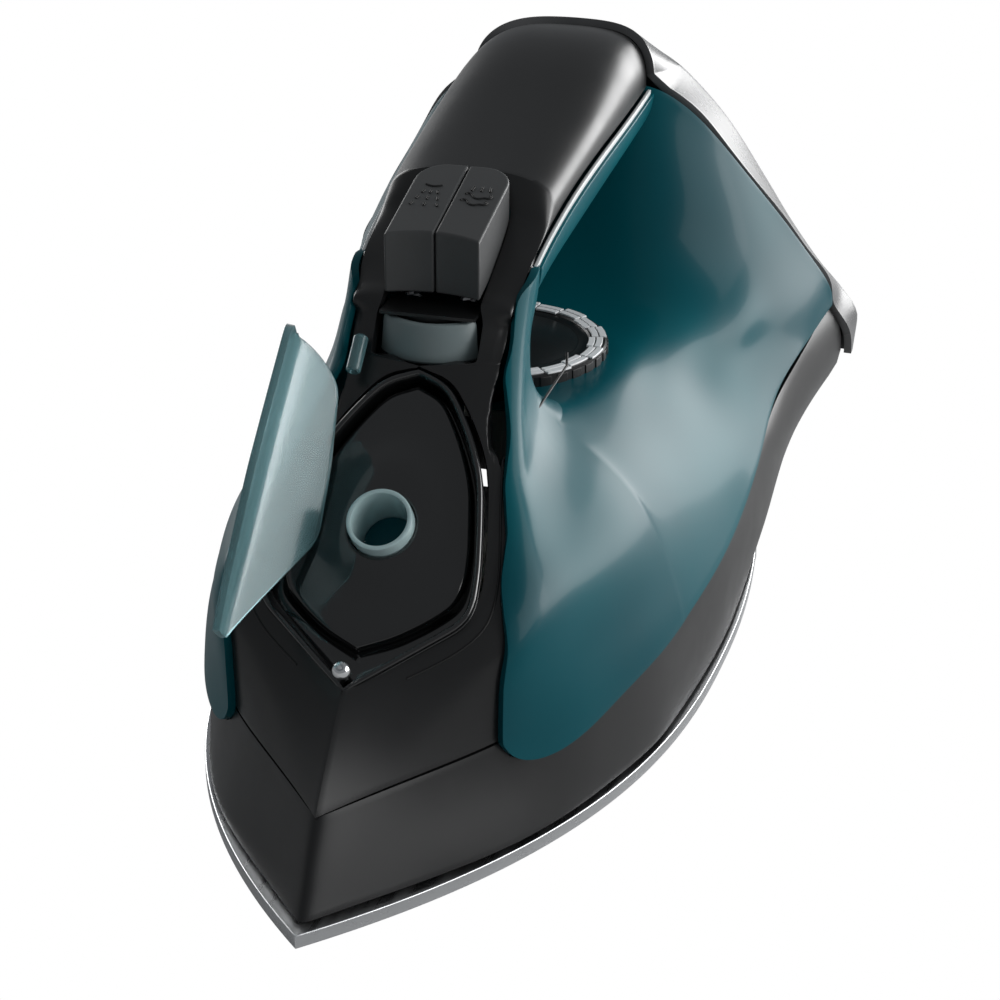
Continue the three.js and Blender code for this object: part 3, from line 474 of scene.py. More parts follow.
def vary(material, socket, low, high, scale, mapping=None):
    """Lets a socket wander between two values (numbers or colours) over the surface."""
    nodes, links = material.node_tree.nodes, material.node_tree.links
    noise = nodes.new("ShaderNodeTexNoise")
    noise.inputs["Scale"].default_value = scale
    noise.inputs["Detail"].default_value = 2.0
    ramp = nodes.new("ShaderNodeValToRGB")
    colours = [(v, v, v, 1) if isinstance(v, float) else (*v, 1) for v in (low, high)]
    ramp.color_ramp.elements[0].color, ramp.color_ramp.elements[1].color = colours
    ramp.color_ramp.elements[0].position = 0.35
    ramp.color_ramp.elements[1].position = 0.65
    source = mapping.outputs["Vector"] if mapping else nodes.new("ShaderNodeTexCoord").outputs["Object"]
    links.new(source, noise.inputs["Vector"])
    links.new(noise.outputs["Fac"], ramp.inputs["Fac"])
    links.new(ramp.outputs["Color"], nodes["Principled BSDF"].inputs[socket])


def satin_plastic(name, color, roughness, grain_size=0.35, depth=0.012):
    material = new_material(name, color, roughness, Specular_IOR_Level=0.5)
    mapping = grain(material, 1000 / grain_size, depth)
    vary(material, "Roughness", roughness * 0.92, roughness * 1.1, 60.0, mapping)
    lighter = tuple(c * 1.12 for c in color)
    vary(material, "Base Color", color, lighter, 35.0, mapping)
    return material


def clear_plastic(name, color, deep, roughness, transmission, coat=1.0, coat_roughness=0.03):
    material = new_material(name, color, roughness, Coat_Weight=coat, Coat_Roughness=coat_roughness,
                            Transmission_Weight=transmission, IOR=1.46)
    mapping = grain(material, 45.0, 0.05, 0.12)
    vary(material, "Base Color", color, deep, 14.0, mapping)
    return material


def brushed_metal(name, color, roughness):
    material = new_material(name, color, roughness, 1.0, Anisotropic=0.5)
    mapping = grain(material, 900.0, 0.01, 0.25, (1, 0.04, 1))
    vary(material, "Roughness", roughness * 0.8, roughness * 1.25, 400.0, mapping)
    return material


BLACK = satin_plastic("black_satin", (0.008, 0.0082, 0.0086), 0.33)
HEEL = satin_plastic("heel_satin", (0.07, 0.071, 0.073), 0.27)
BUTTON = satin_plastic("button_matte", (0.05, 0.052, 0.053), 0.46, 0.28, 0.02)
COLLAR = satin_plastic("collar_satin", (0.16, 0.2, 0.205), 0.33)
TRIM = satin_plastic("grip_satin", (0.62, 0.64, 0.64), 0.36)
SILVER = satin_plastic("silver_lacquer", (0.78, 0.79, 0.8), 0.3)
RUBBER = satin_plastic("black_rubber", (0.012, 0.012, 0.0125), 0.7, 0.5, 0.03)
INK = satin_plastic("printed_black", (0.006, 0.006, 0.006), 0.5)
WHITE = satin_plastic("inner_white", (0.68, 0.67, 0.63), 0.5)
GLOSS = clear_plastic("gloss_black", (0.004, 0.0042, 0.0045), (0.006, 0.0062, 0.0066), 0.12, 0.0)
TEAL = clear_plastic("tank_teal", (0.0, 0.088, 0.108), (0.0, 0.055, 0.072), 0.35, 0.0, 0.1, 0.1)
TEAL.node_tree.nodes["Principled BSDF"].inputs["Specular IOR Level"].default_value = 0.14
PALE = clear_plastic("pale_teal", (0.22, 0.42, 0.45), (0.28, 0.5, 0.53), 0.2, 0.7, 0.2, 0.1)
RIM_PALE = clear_plastic("tube_rim", (0.5, 0.68, 0.69), (0.55, 0.72, 0.73), 0.2, 0.1)
LENS = clear_plastic("red_lens", (0.6, 0.05, 0.02), (0.5, 0.04, 0.02), 0.1, 0.4)
STEEL = brushed_metal("sole_steel", (0.66, 0.67, 0.68), 0.3)
CHROME = brushed_metal("chrome", (0.8, 0.81, 0.82), 0.1)
ALUMINIUM = satin_plastic("cast_aluminium", (0.5, 0.5, 0.51), 0.5, 1.2, 0.05)
BRASS = brushed_metal("brass", (0.6, 0.45, 0.2), 0.3)


# ---- Parting lines ------------------------------------------------------------------------
def rim_y(z):
    return RIM_TOP_Y + RIM_LEAN * (RIM_TOP_Z - z)


TANK_LOW = through([(CORNER_Y, CORNER_Z), (-83.2, 25.2), (-80.6, 22.4), (-75, 20.7), (-64, 22), (-51, 25),
                    (-32, 27.7), (-11, 30), (17, 33), (42, 38), (75, 49.5),
                    (100, 56), (rim_y(58.5), 58.5)], 160)


def tank_low(y):
    return np.interp(y, TANK_LOW[:, 0], TANK_LOW[:, 1])


def side(y, z):
    """A point of the body's right side."""
    y, z = np.broadcast_arrays(np.asarray(y, float), np.asarray(z, float))
    return np.stack([body_x(y, z), y, z], -1)


# The line where the black housing meets the clear tank, from the front corner up to the handle.
TANK_EDGE = through([(CORNER_Y, CORNER_Z), (-84.4, 36), (-84, 44), (-81.2, 52.5), (-75, 60), (-66.9, 67.2),
                     (-56, 76.8), (-46, 85.4), (-39.8, 92), (-34.5, 97.8), (-30.2, 104), (-26, 109.6),
                     (-20, float(handle_seam(-20))), (-12, float(handle_seam(-12))),
                     (0, float(handle_seam(0))),
                     (12, float(handle_seam(12)))], 200)


def wrap_nose(points, radius):
    """Rounds the ridge of the nose: points run from X = 0 outwards along each row."""
    start = points[:, :1, 1]
    points[:, :, 1] = start + np.sqrt((points[:, :, 1] - start) ** 2 + radius ** 2)
    return points


# ---- Skirt ---------------------------------------------------------------------------------
def build_skirt():
    up = np.linspace(0, 1, 16)[:, None]
    u = np.linspace(0, 1, 30)[None, :] ** 1.4
    y_low = front_y(SKIRT_Z) + (CORNER_Y - front_y(SKIRT_Z)) * u
    y_high = front_y(CAP_Z) + (CORNER_Y - front_y(CAP_Z)) * u
    z_high = CAP_Z + (CORNER_Z - GAP - CAP_Z) * u
    z = SKIRT_Z + (z_high - SKIRT_Z) * up
    nose_y = front_y(z[:, :1])
    y = nose_y + (CORNER_Y - nose_y) * u
    nose = np.stack([body_x(y, z) * (u > 0), y + 0 * z, z], -1)
    nose = wrap_nose(nose, 1.6)

    end_y = spline([[SKIRT_Z, 106], [22, 112], [32, 121], [40, 125], [50, 124.2], [58.5, rim_y(58.5) - GAP]])
    u = np.linspace(0, 1, 90)[None, :]
    y_high = CORNER_Y + (rim_y(58.5) - GAP - CORNER_Y) * u
    y_low = CORNER_Y + (106 - CORNER_Y) * u
    z_high = tank_low(y_high) - GAP
    z = SKIRT_Z + (z_high - SKIRT_Z) * up
    y = y_low + (y_high - y_low) * up
    y = y + u ** 8 * (end_y(z) - y)
    flank = side(y, z)

    end = flank[:, -1]
    turn = np.linspace(0, math.pi / 2, 7)[1:]
    corner = np.stack([end + np.array([-5 * (1 - math.cos(a)), 5 * math.sin(a), 0]) for a in turn], 1)
    across = np.linspace(1, 0, 14)[1:]
    back = np.stack([corner[:, -1] * [f, 1, 1] for f in across], 1)
    points = np.concatenate([nose[:, :-1], flank, corner, back], axis=1)
    obj = net("skirt_shell", points, BLACK, flip=False)
    mirror(obj)
    thicken(obj, WALL, 0.5)
    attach(obj, "housing")
    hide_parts("skirt")
    return obj


# ---- Water tank ------------------------------------------------------------------------------
SIDE_END_Y = FINGER_Y - 5


def tank_rows():
    """Control rows across the saddle, from the parting line below to the middle of the saddle."""
    rows = [
        [(None, -19.7, tank_low(-19.7)), (None, -19.7, 44), (None, -19.7, 58), (None, -19.7, 66),
         (None, -19.7, 71), (None, -19.7, 75), (17.5, -19.7, 78.3), (14, -19.7, 78.4), (10, -19.7, 77.4),
         (5, -19.7, 76.6), (0, -19.7, 76.5)],
        [(None, -8, tank_low(-8)), (None, -8, 44.5), (None, -8, 57), (None, -8, 64.5), (None, -8, 69.5),
         (27, -8, 73.4), (23.4, -8, 74.4), (18, -8, 73.9), (13, -8, 73.4), (6, -8, 73.1), (0, -8, 73.1)],
        [(None, 12, tank_low(12)), (None, 12, 45), (None, 12, 56), (None, 12, 63.5), (None, 12, 68.5),
         (31.4, 12, 72.2), (27.4, 12, 73), (20, 12, 73), (13, 12, 73), (6, 12, 73), (0, 12, 73)],
        [(None, 34, tank_low(34)), (None, 34, 46), (None, 34, 56), (None, 34, 63.5), (None, 34, 68.4),
         (32.6, 34, 72), (27.8, 34, 73), (20, 34, 73), (13, 34, 73), (6, 34, 73), (0, 34, 73)],
        [(None, 55, tank_low(55)), (None, 55, 49.5), (None, 55, 57.5), (None, 55, 64.5), (41, 54.6, 69.9),
         (34.5, 54.2, 73.2), (28, 54, 74), (21, 54, 74.2), (14, 54, 74.2), (7, 54, 74.2), (0, 54, 74.2)],
        [(None, 74, tank_low(74)), (None, 74, 55.5), (None, 73.8, 62), (50.4, 73, 68.6), (44, 71.2, 74),
         (36.6, 69, 77.8), (29, 67.5, 79.8), (21.5, 66.8, 80.4), (14, 66.5, 80.5), (7, 66.5, 80.5),
         (0, 66.5, 80.5)],
        [(None, 92, tank_low(92)), (None, 92, 59.5), (56.6, 91, 66.4), (51.4, 88, 74), (45, 84.4, 81.2),
         (37.6, 81, 87.8), (29.6, 78, 92.6), (22, 76.4, 94.6), (14, 76, 95), (7, 76, 95), (0, 76, 95)],
        [(None, 108, tank_low(108)), (62, 107, 63.2), (57.8, 104, 70.6), (52, 99, 79.6), (45.6, 93.6, 89.2),
         (38.4, 88.6, 98.2), (30.6, 84.4, 105.4), (23, 81.8, 109.8),
         (15, 81, 111), (7.5, 81, 111), (0, 81, 111)],
        [(None, 120.75, 58.5), (63.4, 117.8, 64.4), (59, 113.5, 73), (52.9, 108, 84), (45.6, 102.2, 95.6),
         (38, 96, 108), (31, 91, 118), (25.4, 88.8, 122.6), (20.6, 87.4, 124.8), (10.5, 87, 125.4),
         (0, 87, 125.4)],
    ]
    return [[(float(body_x(y, z)) if x is None else x, y, z) for x, y, z in row] for row in rows]


def build_tank():
    saddle = loft(tank_rows(), 64, 110)
    shared = 32
    low_z = saddle[0, :shared, 2]
    saddle[0, :shared, 0] = body_x(SIDE_END_Y, low_z)
    saddle = relaxed(saddle, 40)
    saddle_obj = net("tank_saddle", saddle, TEAL, flip=False)
    top_z = float(handle_seam(SIDE_END_Y))
    wall_z = np.linspace(low_z[-1], top_z, 32)
    end_z = np.r_[low_z[:-1], wall_z]

    count = 70
    t = np.linspace(0, 1, count)
    low_y = CORNER_Y + (SIDE_END_Y - CORNER_Y) * t
    low = np.stack([low_y, tank_low(low_y)], -1)
    cut = np.argmax(TANK_EDGE[:, 0] >= SIDE_END_Y)
    high = through(np.r_[TANK_EDGE[:cut], [(SIDE_END_Y, top_z)]], count)
    up = (end_z - end_z[0]) / (end_z[-1] - end_z[0])
    flat = low[None] + (high - low)[None] * up[:, None, None]
    flank = side(flat[..., 0], flat[..., 1])
    flank_obj = net("tank_flank", flank, TEAL)

    corner = 5.0
    rows = []
    for z in wall_z:
        cove = 7 * max(0, (84 - z) / 9) ** 2.2
        x0 = float(body_x(SIDE_END_Y, z))
        bend = [(x0 - corner * (1 - math.cos(a)), SIDE_END_Y + (corner + cove) * math.sin(a), z)
                for a in np.linspace(0, math.pi / 2, 8)]
        line = [(bend[-1][0] * g, bend[-1][1], z) for g in np.linspace(1, 0, 12)[1:]]
        rows.append(bend + line)
    wall_obj = net("tank_wall", np.array(rows), TEAL)
    obj = merged("tank_shell", [saddle_obj, flank_obj, wall_obj])
    weld(obj, 0.06)
    mirror(obj)
    thicken(obj, 1.8, 0.4)
    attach(obj, "housing")
    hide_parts("water_tank")
    return saddle


# ---- Upper housing -----------------------------------------------------------------------------
RECESS = np.array([(0, 6), (24.5, 26), (24.2, 36), (22.4, 47), (20, 59), (16.3, 67.5), (12, 75), (7.6, 81.2),
                   (0, 84.2)])


def recess_half(s):
    """Half width of the recess at a height up the slope, with its corners eased."""
    return np.interp(s, RECESS_LINE[:, 1], RECESS_LINE[:, 0])


def eased(points, radius):
    """The same outline with each inner corner replaced by a short arc."""
    points = np.array(points, float)
    out = [points[0]]
    for before, here, after in zip(points[:-2], points[1:-1], points[2:]):
        a, b = before - here, after - here
        r = min(radius, np.linalg.norm(a) / 2, np.linalg.norm(b) / 2)
        p, q = here + a / np.linalg.norm(a) * r, here + b / np.linalg.norm(b) * r
        for t in np.linspace(0, 1, 6):
            out.append((1 - t) ** 2 * p + 2 * t * (1 - t) * here + t ** 2 * q)
    out.append(points[-1])
    return np.array(out)


RECESS_LINE = eased(RECESS, 6)

ROW_ACROSS = 26


def contour(z):
    """The front and side of the body at one height, from X = 0 outwards, with its length."""
    x = np.r_[np.linspace(0, 14, 30), np.linspace(14.3, 40, 120)]
    widest = float(body_x(0, z))
    x = x[x < widest - 0.01]
    y = body_front(x, np.full(x.shape, z))
    keep = y < 5
    x, y = x[keep], y[keep]
    length = np.r_[0, np.cumsum(np.hypot(np.diff(x), np.diff(y)))]
    return x, y, length


def housing_row(z_out, z_in, x_in):
    """One row of the nose cap or hood, from the tank's edge in to the ridge or to the recess."""
    edge_y = float(np.interp(z_out, TANK_EDGE[:, 1], TANK_EDGE[:, 0]))
    x, y, length = contour(z_out)
    l_out = float(np.interp(edge_y, y, length))
    x, y, length = contour(z_in)
    l_in = float(np.interp(x_in, x, length))
    row = []
    for u in np.linspace(0, 1, ROW_ACROSS):
        z = z_out + (z_in - z_out) * u
        x, y, length = contour(z)
        at = l_out + (l_in - l_out) * u
        row.append((np.interp(at, length, x), np.interp(at, length, y), z))
    return np.array(row)


BUTTON_SHOULDER = gentle([[-33, 106.5], [-31.5, 107.9], [-24, 111], [-14, 115.4], [-7, 119.5], [-2.5, 125],
                          [0.2, 128.7]])


def hood_rows():
    """Rows of the housing beside the buttons, the last one being the handle's own section behind them."""
    rows = []
    for y, inner in ((-31.5, 11.45), (-27, 11.45), (-20, 11.45), (-12, 11.45),
                     (-6, 11.2), (-3, 9.6), (-1.2, 6.5)):
        seam, half = float(handle_seam(y)), float(handle_half(y))
        rise = float(BUTTON_SHOULDER(y)) - seam
        limit = math.acos(min((inner / half) ** (1 / 0.74), 1))
        angles = np.linspace(0, limit, ROW_ACROSS)
        rows.append(np.stack([half * np.cos(angles) ** 0.74, np.full(ROW_ACROSS, y),
                              seam + rise * np.sin(angles) ** 0.74], -1))
    rows.append(handle_section(np.full(ROW_ACROSS, 0.2), np.linspace(0, math.pi / 2, ROW_ACROSS)))
    return rows


def build_upper():
    z_out = np.r_[np.linspace(CORNER_Z + GAP, 42, 12), np.linspace(42.8, 95.8, 66)]
    z_in = np.r_[np.linspace(CAP_Z + GAP, 41, 12), np.linspace(42, 95.8, 66)]
    rows = []
    for low, high in zip(z_out, z_in):
        s = (high - FACE_TIP[1]) / math.sin(FACE_ANGLE)
        x_in = float(recess_half(s)) if 6 < s < 84.2 else 0.0
        rows.append(housing_row(low, high, x_in))
    cap_obj = net("upper_cap", np.array(rows), BLACK)
    controls = [rows[-1], housing_row(96.8, 96.8, 12.2), housing_row(99.5, 99.5, 12.4),
                housing_row(103.5, 103.5, 12.4)]
    controls = np.array(controls + hood_rows())
    step = np.linalg.norm(np.diff(controls, axis=0), axis=2).mean(axis=1)
    t = np.r_[0, np.cumsum(step)]
    hood = gentle(np.c_[t, controls.reshape(len(t), -1)])(np.linspace(0, t[-1], 80))
    hood = hood.reshape(80, ROW_ACROSS, 3)
    hood_obj = net("upper_hood", hood, BLACK)
    angles = np.linspace(0, math.pi / 2, ROW_ACROSS)
    top_rows = [handle_section(0.2 + (handle_end(angles) - GAP - 0.2) * t, angles)
                for t in np.linspace(0, 1, 60)]
    top_obj = net("upper_handle", np.array(top_rows), BLACK)
    obj = merged("upper_shell", [cap_obj, hood_obj, top_obj])
    weld(obj)
    mirror(obj)
    thicken(obj, WALL, 0.4)
    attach(obj, "housing")
    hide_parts("upper_housing")
    build_mouth()
    build_ledge()
    return obj


def build_mouth():
    """The dark throat behind the collar, under the buttons."""
    angles = np.radians(np.linspace(-96, 96, 60))
    rows = [[(10.4 * math.sin(a), -25 - 10.4 * math.cos(a), z) for a in angles] for z in (88, 94, 100, 104.6)]
    obj = net("mouth_throat", np.array(rows), INK)
    thicken(obj, 0.6, 0)
    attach(obj, "housing")


def build_ledge():
    """The fine step that runs beside the recess and round the nose."""
    line = through([(21.6, 83), (24.6, 71.5), (27.4, 60.4), (27, 54.6), (22, 49.6), (12.4, 45)], 60)
    y = body_front(line[:, 0], line[:, 1])
    points = np.stack([line[:, 0], y + 0.12, line[:, 1]], -1)
    sides = [tube("ledge_right", points, 0.32, INK),
             tube("ledge_left", points * [-1, 1, 1], 0.32, INK)]
    obj = merged("cap_ledge", sides)
    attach(obj, "housing")


# ---- Underside of the handle ---------------------------------------------------------------------
def build_liner():
    angles = -np.linspace(0.06, math.pi / 2, 30)
    rows = [handle_section(np.full(30, y), angles) for y in np.linspace(FINGER_Y - 2, 86, 60)]
    liner = net("handle_liner_shell", np.array(rows), TEAL, flip=True)
    mirror(liner)
    thicken(liner, WALL, 0.3)
    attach(liner, "housing")
    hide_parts("handle_liner")
    for sign, hand in ((-1, "left"), (1, "right")):
        # The light grey grip strips keep the trim's own colour, but they start just under the seam: the band
        # widened up to the seam is a painted highlight along the handle's shoulder.
        rows = []
        for y in np.linspace(SIDE_END_Y + 1, HANDLE_REAR_Y, 60):
            section = handle_section(np.full(8, y), -np.linspace(0.02, 0.34, 8)) + [0.3, 0, 0]
            rows.append(section * [sign, 1, 1])
        trim = net(f"grip_strip_and_highlight_{hand}", np.array(rows), TRIM, flip=sign > 0)
        thicken(trim, 0.9, 0.2)
        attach(trim, "housing")
        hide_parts(f"grip_trim_{hand}")


# ---- Heel cover -------------------------------------------------------------------------------------
def build_heel():
    rim = [(float(body_x(129, 42)), 129, 41.5), (float(body_x(125, 50)), 125, 50),
           (float(body_x(120.75, 58.5)), 120.75, 58.5), (63.4, 117.8, 64.4), (59, 113.5, 73), (52.9, 108, 84),
           (45.6, 102.2, 95.6), (38, 96, 108), (31, 91, 118), (25.4, 88.8, 122.6)]
    angles = np.linspace(0.06, math.pi / 2, 12)
    over = handle_section(handle_end(angles) + 0.1, angles)
    front = np.r_[through(rim, 60), through(over, 40)[1:]] + [0, GAP, 0]
    n = len(front)
    z_back = np.r_[np.linspace(41, 122, 60), np.linspace(122, 133.2, 40)[1:]]
    half_back = gentle([[41, 67.4], [50, 68], [58, 63.6], [66, 58.4], [78, 51.4], [92, 44], [108, 35],
                        [118, 27.6], [124, 22], [129, 14.5], [131.6, 8], [133.2, 0.0]])
    back_y = gentle([[41, 133.3], [54, 133.6], [66, 129], [78, 124.5], [92, 120], [108, 115], [122, 109.5],
                     [133.2, 104]])
    back = np.stack([np.maximum(half_back(z_back), 0), back_y(z_back), z_back], -1)
    back[-1, 0] = 0
    rows = [front, front + (back - front) * 0.35, front + (back - front) * 0.7,
            front + (back - front) * 0.93, back]
    band = np.array(rows)
    t = np.array([0, 0.35, 0.7, 0.93, 1.0])
    band = np.stack([spline(np.c_[t, band[:, k]])(np.linspace(0, 1, 20)) for k in range(n)], axis=1)
    corner = []
    inner = back * [0, 1, 1]
    pull = inner - back
    length = np.maximum(np.linalg.norm(pull, axis=1, keepdims=True), 1e-6)
    for a in np.linspace(0, math.pi / 2, 6)[1:]:
        r = np.minimum(3.0, length)
        corner.append(back + pull / length * r * (1 - math.cos(a)) + [0, 0.25 * math.sin(a), 0])
    across = [corner[-1] + (inner - corner[-1]) * f for f in np.linspace(0, 1, 16)[1:]]
    points = np.concatenate([band, np.array(corner), np.array(across)], axis=0)
    points[..., 1] = np.minimum(points[..., 1], HEEL_Y)
    obj = net("heel_shell", points, HEEL)
    mirror(obj)
    thicken(obj, WALL, 0.5)
    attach(obj, "housing")
    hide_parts("heel_cover")
    return obj


# ---- Sole ----------------------------------------------------------------------------------------------
def sole_outline():
    t = np.linspace(0, 1, 50) ** 1.3
    nose = np.stack([SOLE_HALF * (1 - (1 - t) ** SOLE_POWER), NOSE_Y + SOLE_WIDEST * t], -1)
    rest = SOLE_LENGTH - SOLE_WIDEST
    back_y = NOSE_Y + SOLE_LENGTH
    widest_y = NOSE_Y + SOLE_WIDEST

    def half(y):
        return SOLE_HALF - SOLE_NARROWING * ((y - widest_y) / rest) ** 2
    flank = [(half(y), y) for y in np.linspace(widest_y, back_y - SOLE_CORNER, 16)[1:]]
    corner = [(half(back_y - SOLE_CORNER) - SOLE_CORNER * (1 - math.cos(a)),
               back_y - SOLE_CORNER * (1 - math.sin(a))) for a in np.linspace(0, math.pi / 2, 10)[1:]]
    right = np.array([*nose[1:], *flank, *corner])
    return np.r_[[[0, NOSE_Y]], right, (right * [-1, 1])[::-1]]


VENTS = [(-104, [0]), (-84, [-13, 13]), (-62, [-25, 0, 25]), (-36, [-34, 34]), (-8, [-41, 41]),
         (22, [-44, 44]),
         (52, [-43, 43])]


def build_sole():
    work = bmesh.new()
    loops = [sole_outline()]
    angles = np.linspace(0, 2 * math.pi, 16, endpoint=False)
    for y, across in VENTS:
        loops += [np.stack([x + 1.3 * np.cos(angles), y + 1.3 * np.sin(angles)], -1) for x in across]
    for loop in loops:
        verts = [work.verts.new((x * MM, y * MM, 0)) for x, y in loop]
        for a, b in zip(verts, verts[1:] + verts[:1]):
            work.edges.new((a, b))
    bmesh.ops.triangle_fill(work, edges=work.edges[:], use_beauty=True)
    made = bmesh.ops.extrude_face_region(work, geom=work.faces[:])
    top = [v for v in made["geom"] if isinstance(v, bmesh.types.BMVert)]
    bmesh.ops.translate(work, verts=top, vec=(0, 0, SOLE_THICK * MM))
    bmesh.ops.recalc_face_normals(work, faces=work.faces)
    mesh = bpy.data.meshes.new("sole_plate")
    work.to_mesh(mesh)
    work.free()
    mesh.materials.append(STEEL)
    obj = bpy.data.objects.new("sole_plate", mesh)
    bpy.context.scene.collection.objects.link(obj)
    roll(obj, 0.45, 3, 50)
    mesh.shade_smooth()
    crease_by_angle(obj, 30)
    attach(obj, "housing")
    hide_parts("soleplate")
    return obj


# ---- Recess, fill tube, nozzle ------------------------------------------------------------------------
TUBE_S = 45.5
TUBE_OUTER = 7.4
TUBE_BORE = 6.2
TUBE_PROUD = 2.8
RING_POINTS = 120              # round the recess outline


def recess_ring(inset):
    """The recess outline drawn in by a distance, all the way round, as [x, s]."""
    line = RECESS_LINE
    full = np.r_[line, (line[1:-1] * [-1, 1])[::-1]]
    full = polyline(np.r_[full, full[:1]], RING_POINTS + 1)[:-1]
    centre = np.array([0, 44])
    ahead = np.roll(full, -2, axis=0) - np.roll(full, 2, axis=0)
    normal = np.stack([-ahead[:, 1], ahead[:, 0]], -1)
    normal /= np.linalg.norm(normal, axis=1, keepdims=True)
    toward = np.sum((centre - full) * normal, axis=1)
    normal[toward < 0] *= -1
    for _ in range(int(2 + inset)):
        normal = normal + 0.5 * (np.roll(normal, 1, axis=0) + np.roll(normal, -1, axis=0))
        normal /= np.linalg.norm(normal, axis=1, keepdims=True)
    return full + normal * inset


def hill(x, s):
    """Height of the fairing round the fill tube above the raised floor."""
    up = np.maximum(s - TUBE_S, 0)
    down = np.maximum(TUBE_S - s, 0)
    r = np.sqrt(x ** 2 + (up * 0.62) ** 2 + (down * 0.9) ** 2)
    return 2.6 / (1 + np.exp((r - 11.5) / 1.6))


PLATEAU = eased([(0, 17), (8, 20.6), (14.5, 25.2), (19.6, 30), (20.8, 36), (20, 46), (18.3, 56), (15.4, 66),
                 (11.4, 73.5), (6.4, 80), (0, 82)], 3)


def plateau_ring(line, inset):
    """Points of the raised floor's outline that lie on the way from each given point to the fill tube."""
    full = polyline(np.r_[PLATEAU, (PLATEAU * [-1, 1])[::-1]], 1200) - [0, TUBE_S]
    angle = np.arctan2(full[:, 1], full[:, 0])
    order = np.argsort(angle)
    away = line - [0, TUBE_S]
    reach = np.interp(np.arctan2(away[:, 1], away[:, 0]), angle[order],
                      np.hypot(*full.T)[order], period=2 * math.pi)
    length = np.hypot(*away.T)
    return [0, TUBE_S] + away * (np.minimum(reach - inset, length - 0.4 - inset) / length)[:, None]


def build_recess():
    rings = []
    for inset, n in ((-0.1, -0.9), (0.35, -0.35), (0.9, -0.25), (1.3, -0.7),
                     (1.6, -2.4), (1.9, -5.2), (2.4, -6.3)):
        line = recess_ring(inset)
        rings.append(np.c_[line, np.full(len(line), n)])
    wall_foot = rings[-1][:, :2]
    for inset, share, n in ((0, 0.6, -6.5), (0, 0.9, -6.1), (0, 1, -4.6), (0.25, 1, -3.4), (0.8, 1, -2.85)):
        inner = plateau_ring(wall_foot, inset)
        rings.append(np.c_[wall_foot + (inner - wall_foot) * share, np.full(len(inner), n)])
    last = rings[-1][:, :2]
    centre = np.array([0.0, TUBE_S])
    ring_hole = centre + ((TUBE_OUTER + 0.4) * (last - centre)
                          / np.linalg.norm(last - centre, axis=1, keepdims=True))
    for f in np.linspace(0, 1, 26)[1:]:
        flat = last + (ring_hole - last) * f
        n = -2.7 + hill(flat[:, 0], flat[:, 1]) * min(1.0, f * 4)
        rings.append(np.c_[flat, n])
    points = on_face(np.array(rings))
    obj = net("recess_dish", points, GLOSS, closed=True)
    thicken(obj, 1.5, 0)
    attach(obj, "housing")
    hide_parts("recess_insert")

    rim = TUBE_PROUD
    profile = [(TUBE_BORE, -14), (TUBE_BORE, rim - 0.5), (TUBE_BORE + 0.15, rim - 0.1),
               (TUBE_BORE + 0.5, rim),
               (TUBE_OUTER - 0.4, rim), (TUBE_OUTER - 0.1, rim - 0.15), (TUBE_OUTER, rim - 0.6),
               (TUBE_OUTER, -14),
               (TUBE_BORE, -14)]
    tube_obj = lathe("fill_spout", profile, (0, TUBE_S, 0), RIM_PALE, 96, on_face)
    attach(tube_obj, "housing")
    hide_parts("fill_tube")
    floor = lathe("fill_well", [(0, -9.5), (TUBE_BORE - 0.2, -9.5), (TUBE_BORE - 0.2, -10.5), (0, -10.5)],
                  (0, TUBE_S, 0), TEAL, 64, on_face)
    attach(floor, "housing")

    turn = np.linspace(-0.5 * math.pi, 0.5 * math.pi, 22)
    ball = [(0.0, 5.55), (0.42, 5.5), (0.5, 4.9), (0.9, 5.42)]
    ball += [(2.1 * math.cos(a), 3.6 + 2.1 * math.sin(a)) for a in turn[::-1] if math.sin(a) < 0.84]
    ball += [(1.1, 1.8), (1.1, -8), (0, -8)]
    ball = [p for p in ball if p[1] > -9]
    ball = sorted_profile(ball)
    nozzle = lathe("spray_tip", ball, (0, 9.5, 0), CHROME, 48, on_face)
    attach(nozzle, "housing")
    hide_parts("spray_nozzle")


def sorted_profile(points):
    """Drops the points where the ball would run inside its own stem."""
    kept = []
    for r, h in points:
        if kept and h < 3.6 and r < 1.1 and h > 1.8:
            continue
        kept.append((r, h))
    return kept


# ---- Filler lid ------------------------------------------------------------------------------------------
LID_HINGE_X = -14.6
LID_HINGE_N = 0.5
LID_OPEN = math.radians(100)
LID_SLOPE = math.radians(27.4)
LID_RIDGE_N = 14.1 * math.tan(LID_SLOPE) + 0.5
LID_LEAF = eased([(2.6, 10.5), (20.3, 41), (19, 58), (15.8, 77), (8.5, 81.5), (0, 83)], 3.5)


def lid_world(points):
    """[x, s, n] of the closed lid to [x, y, z] of the open one."""
    points = np.array(points, float)
    x, n = points[..., 0] - LID_HINGE_X, points[..., 2] - LID_HINGE_N
    c, s = math.cos(LID_OPEN), math.sin(LID_OPEN)
    turned = np.stack([LID_HINGE_X + x * c - n * s, points[..., 1], LID_HINGE_N + x * s + n * c], -1)
    return on_face(turned)


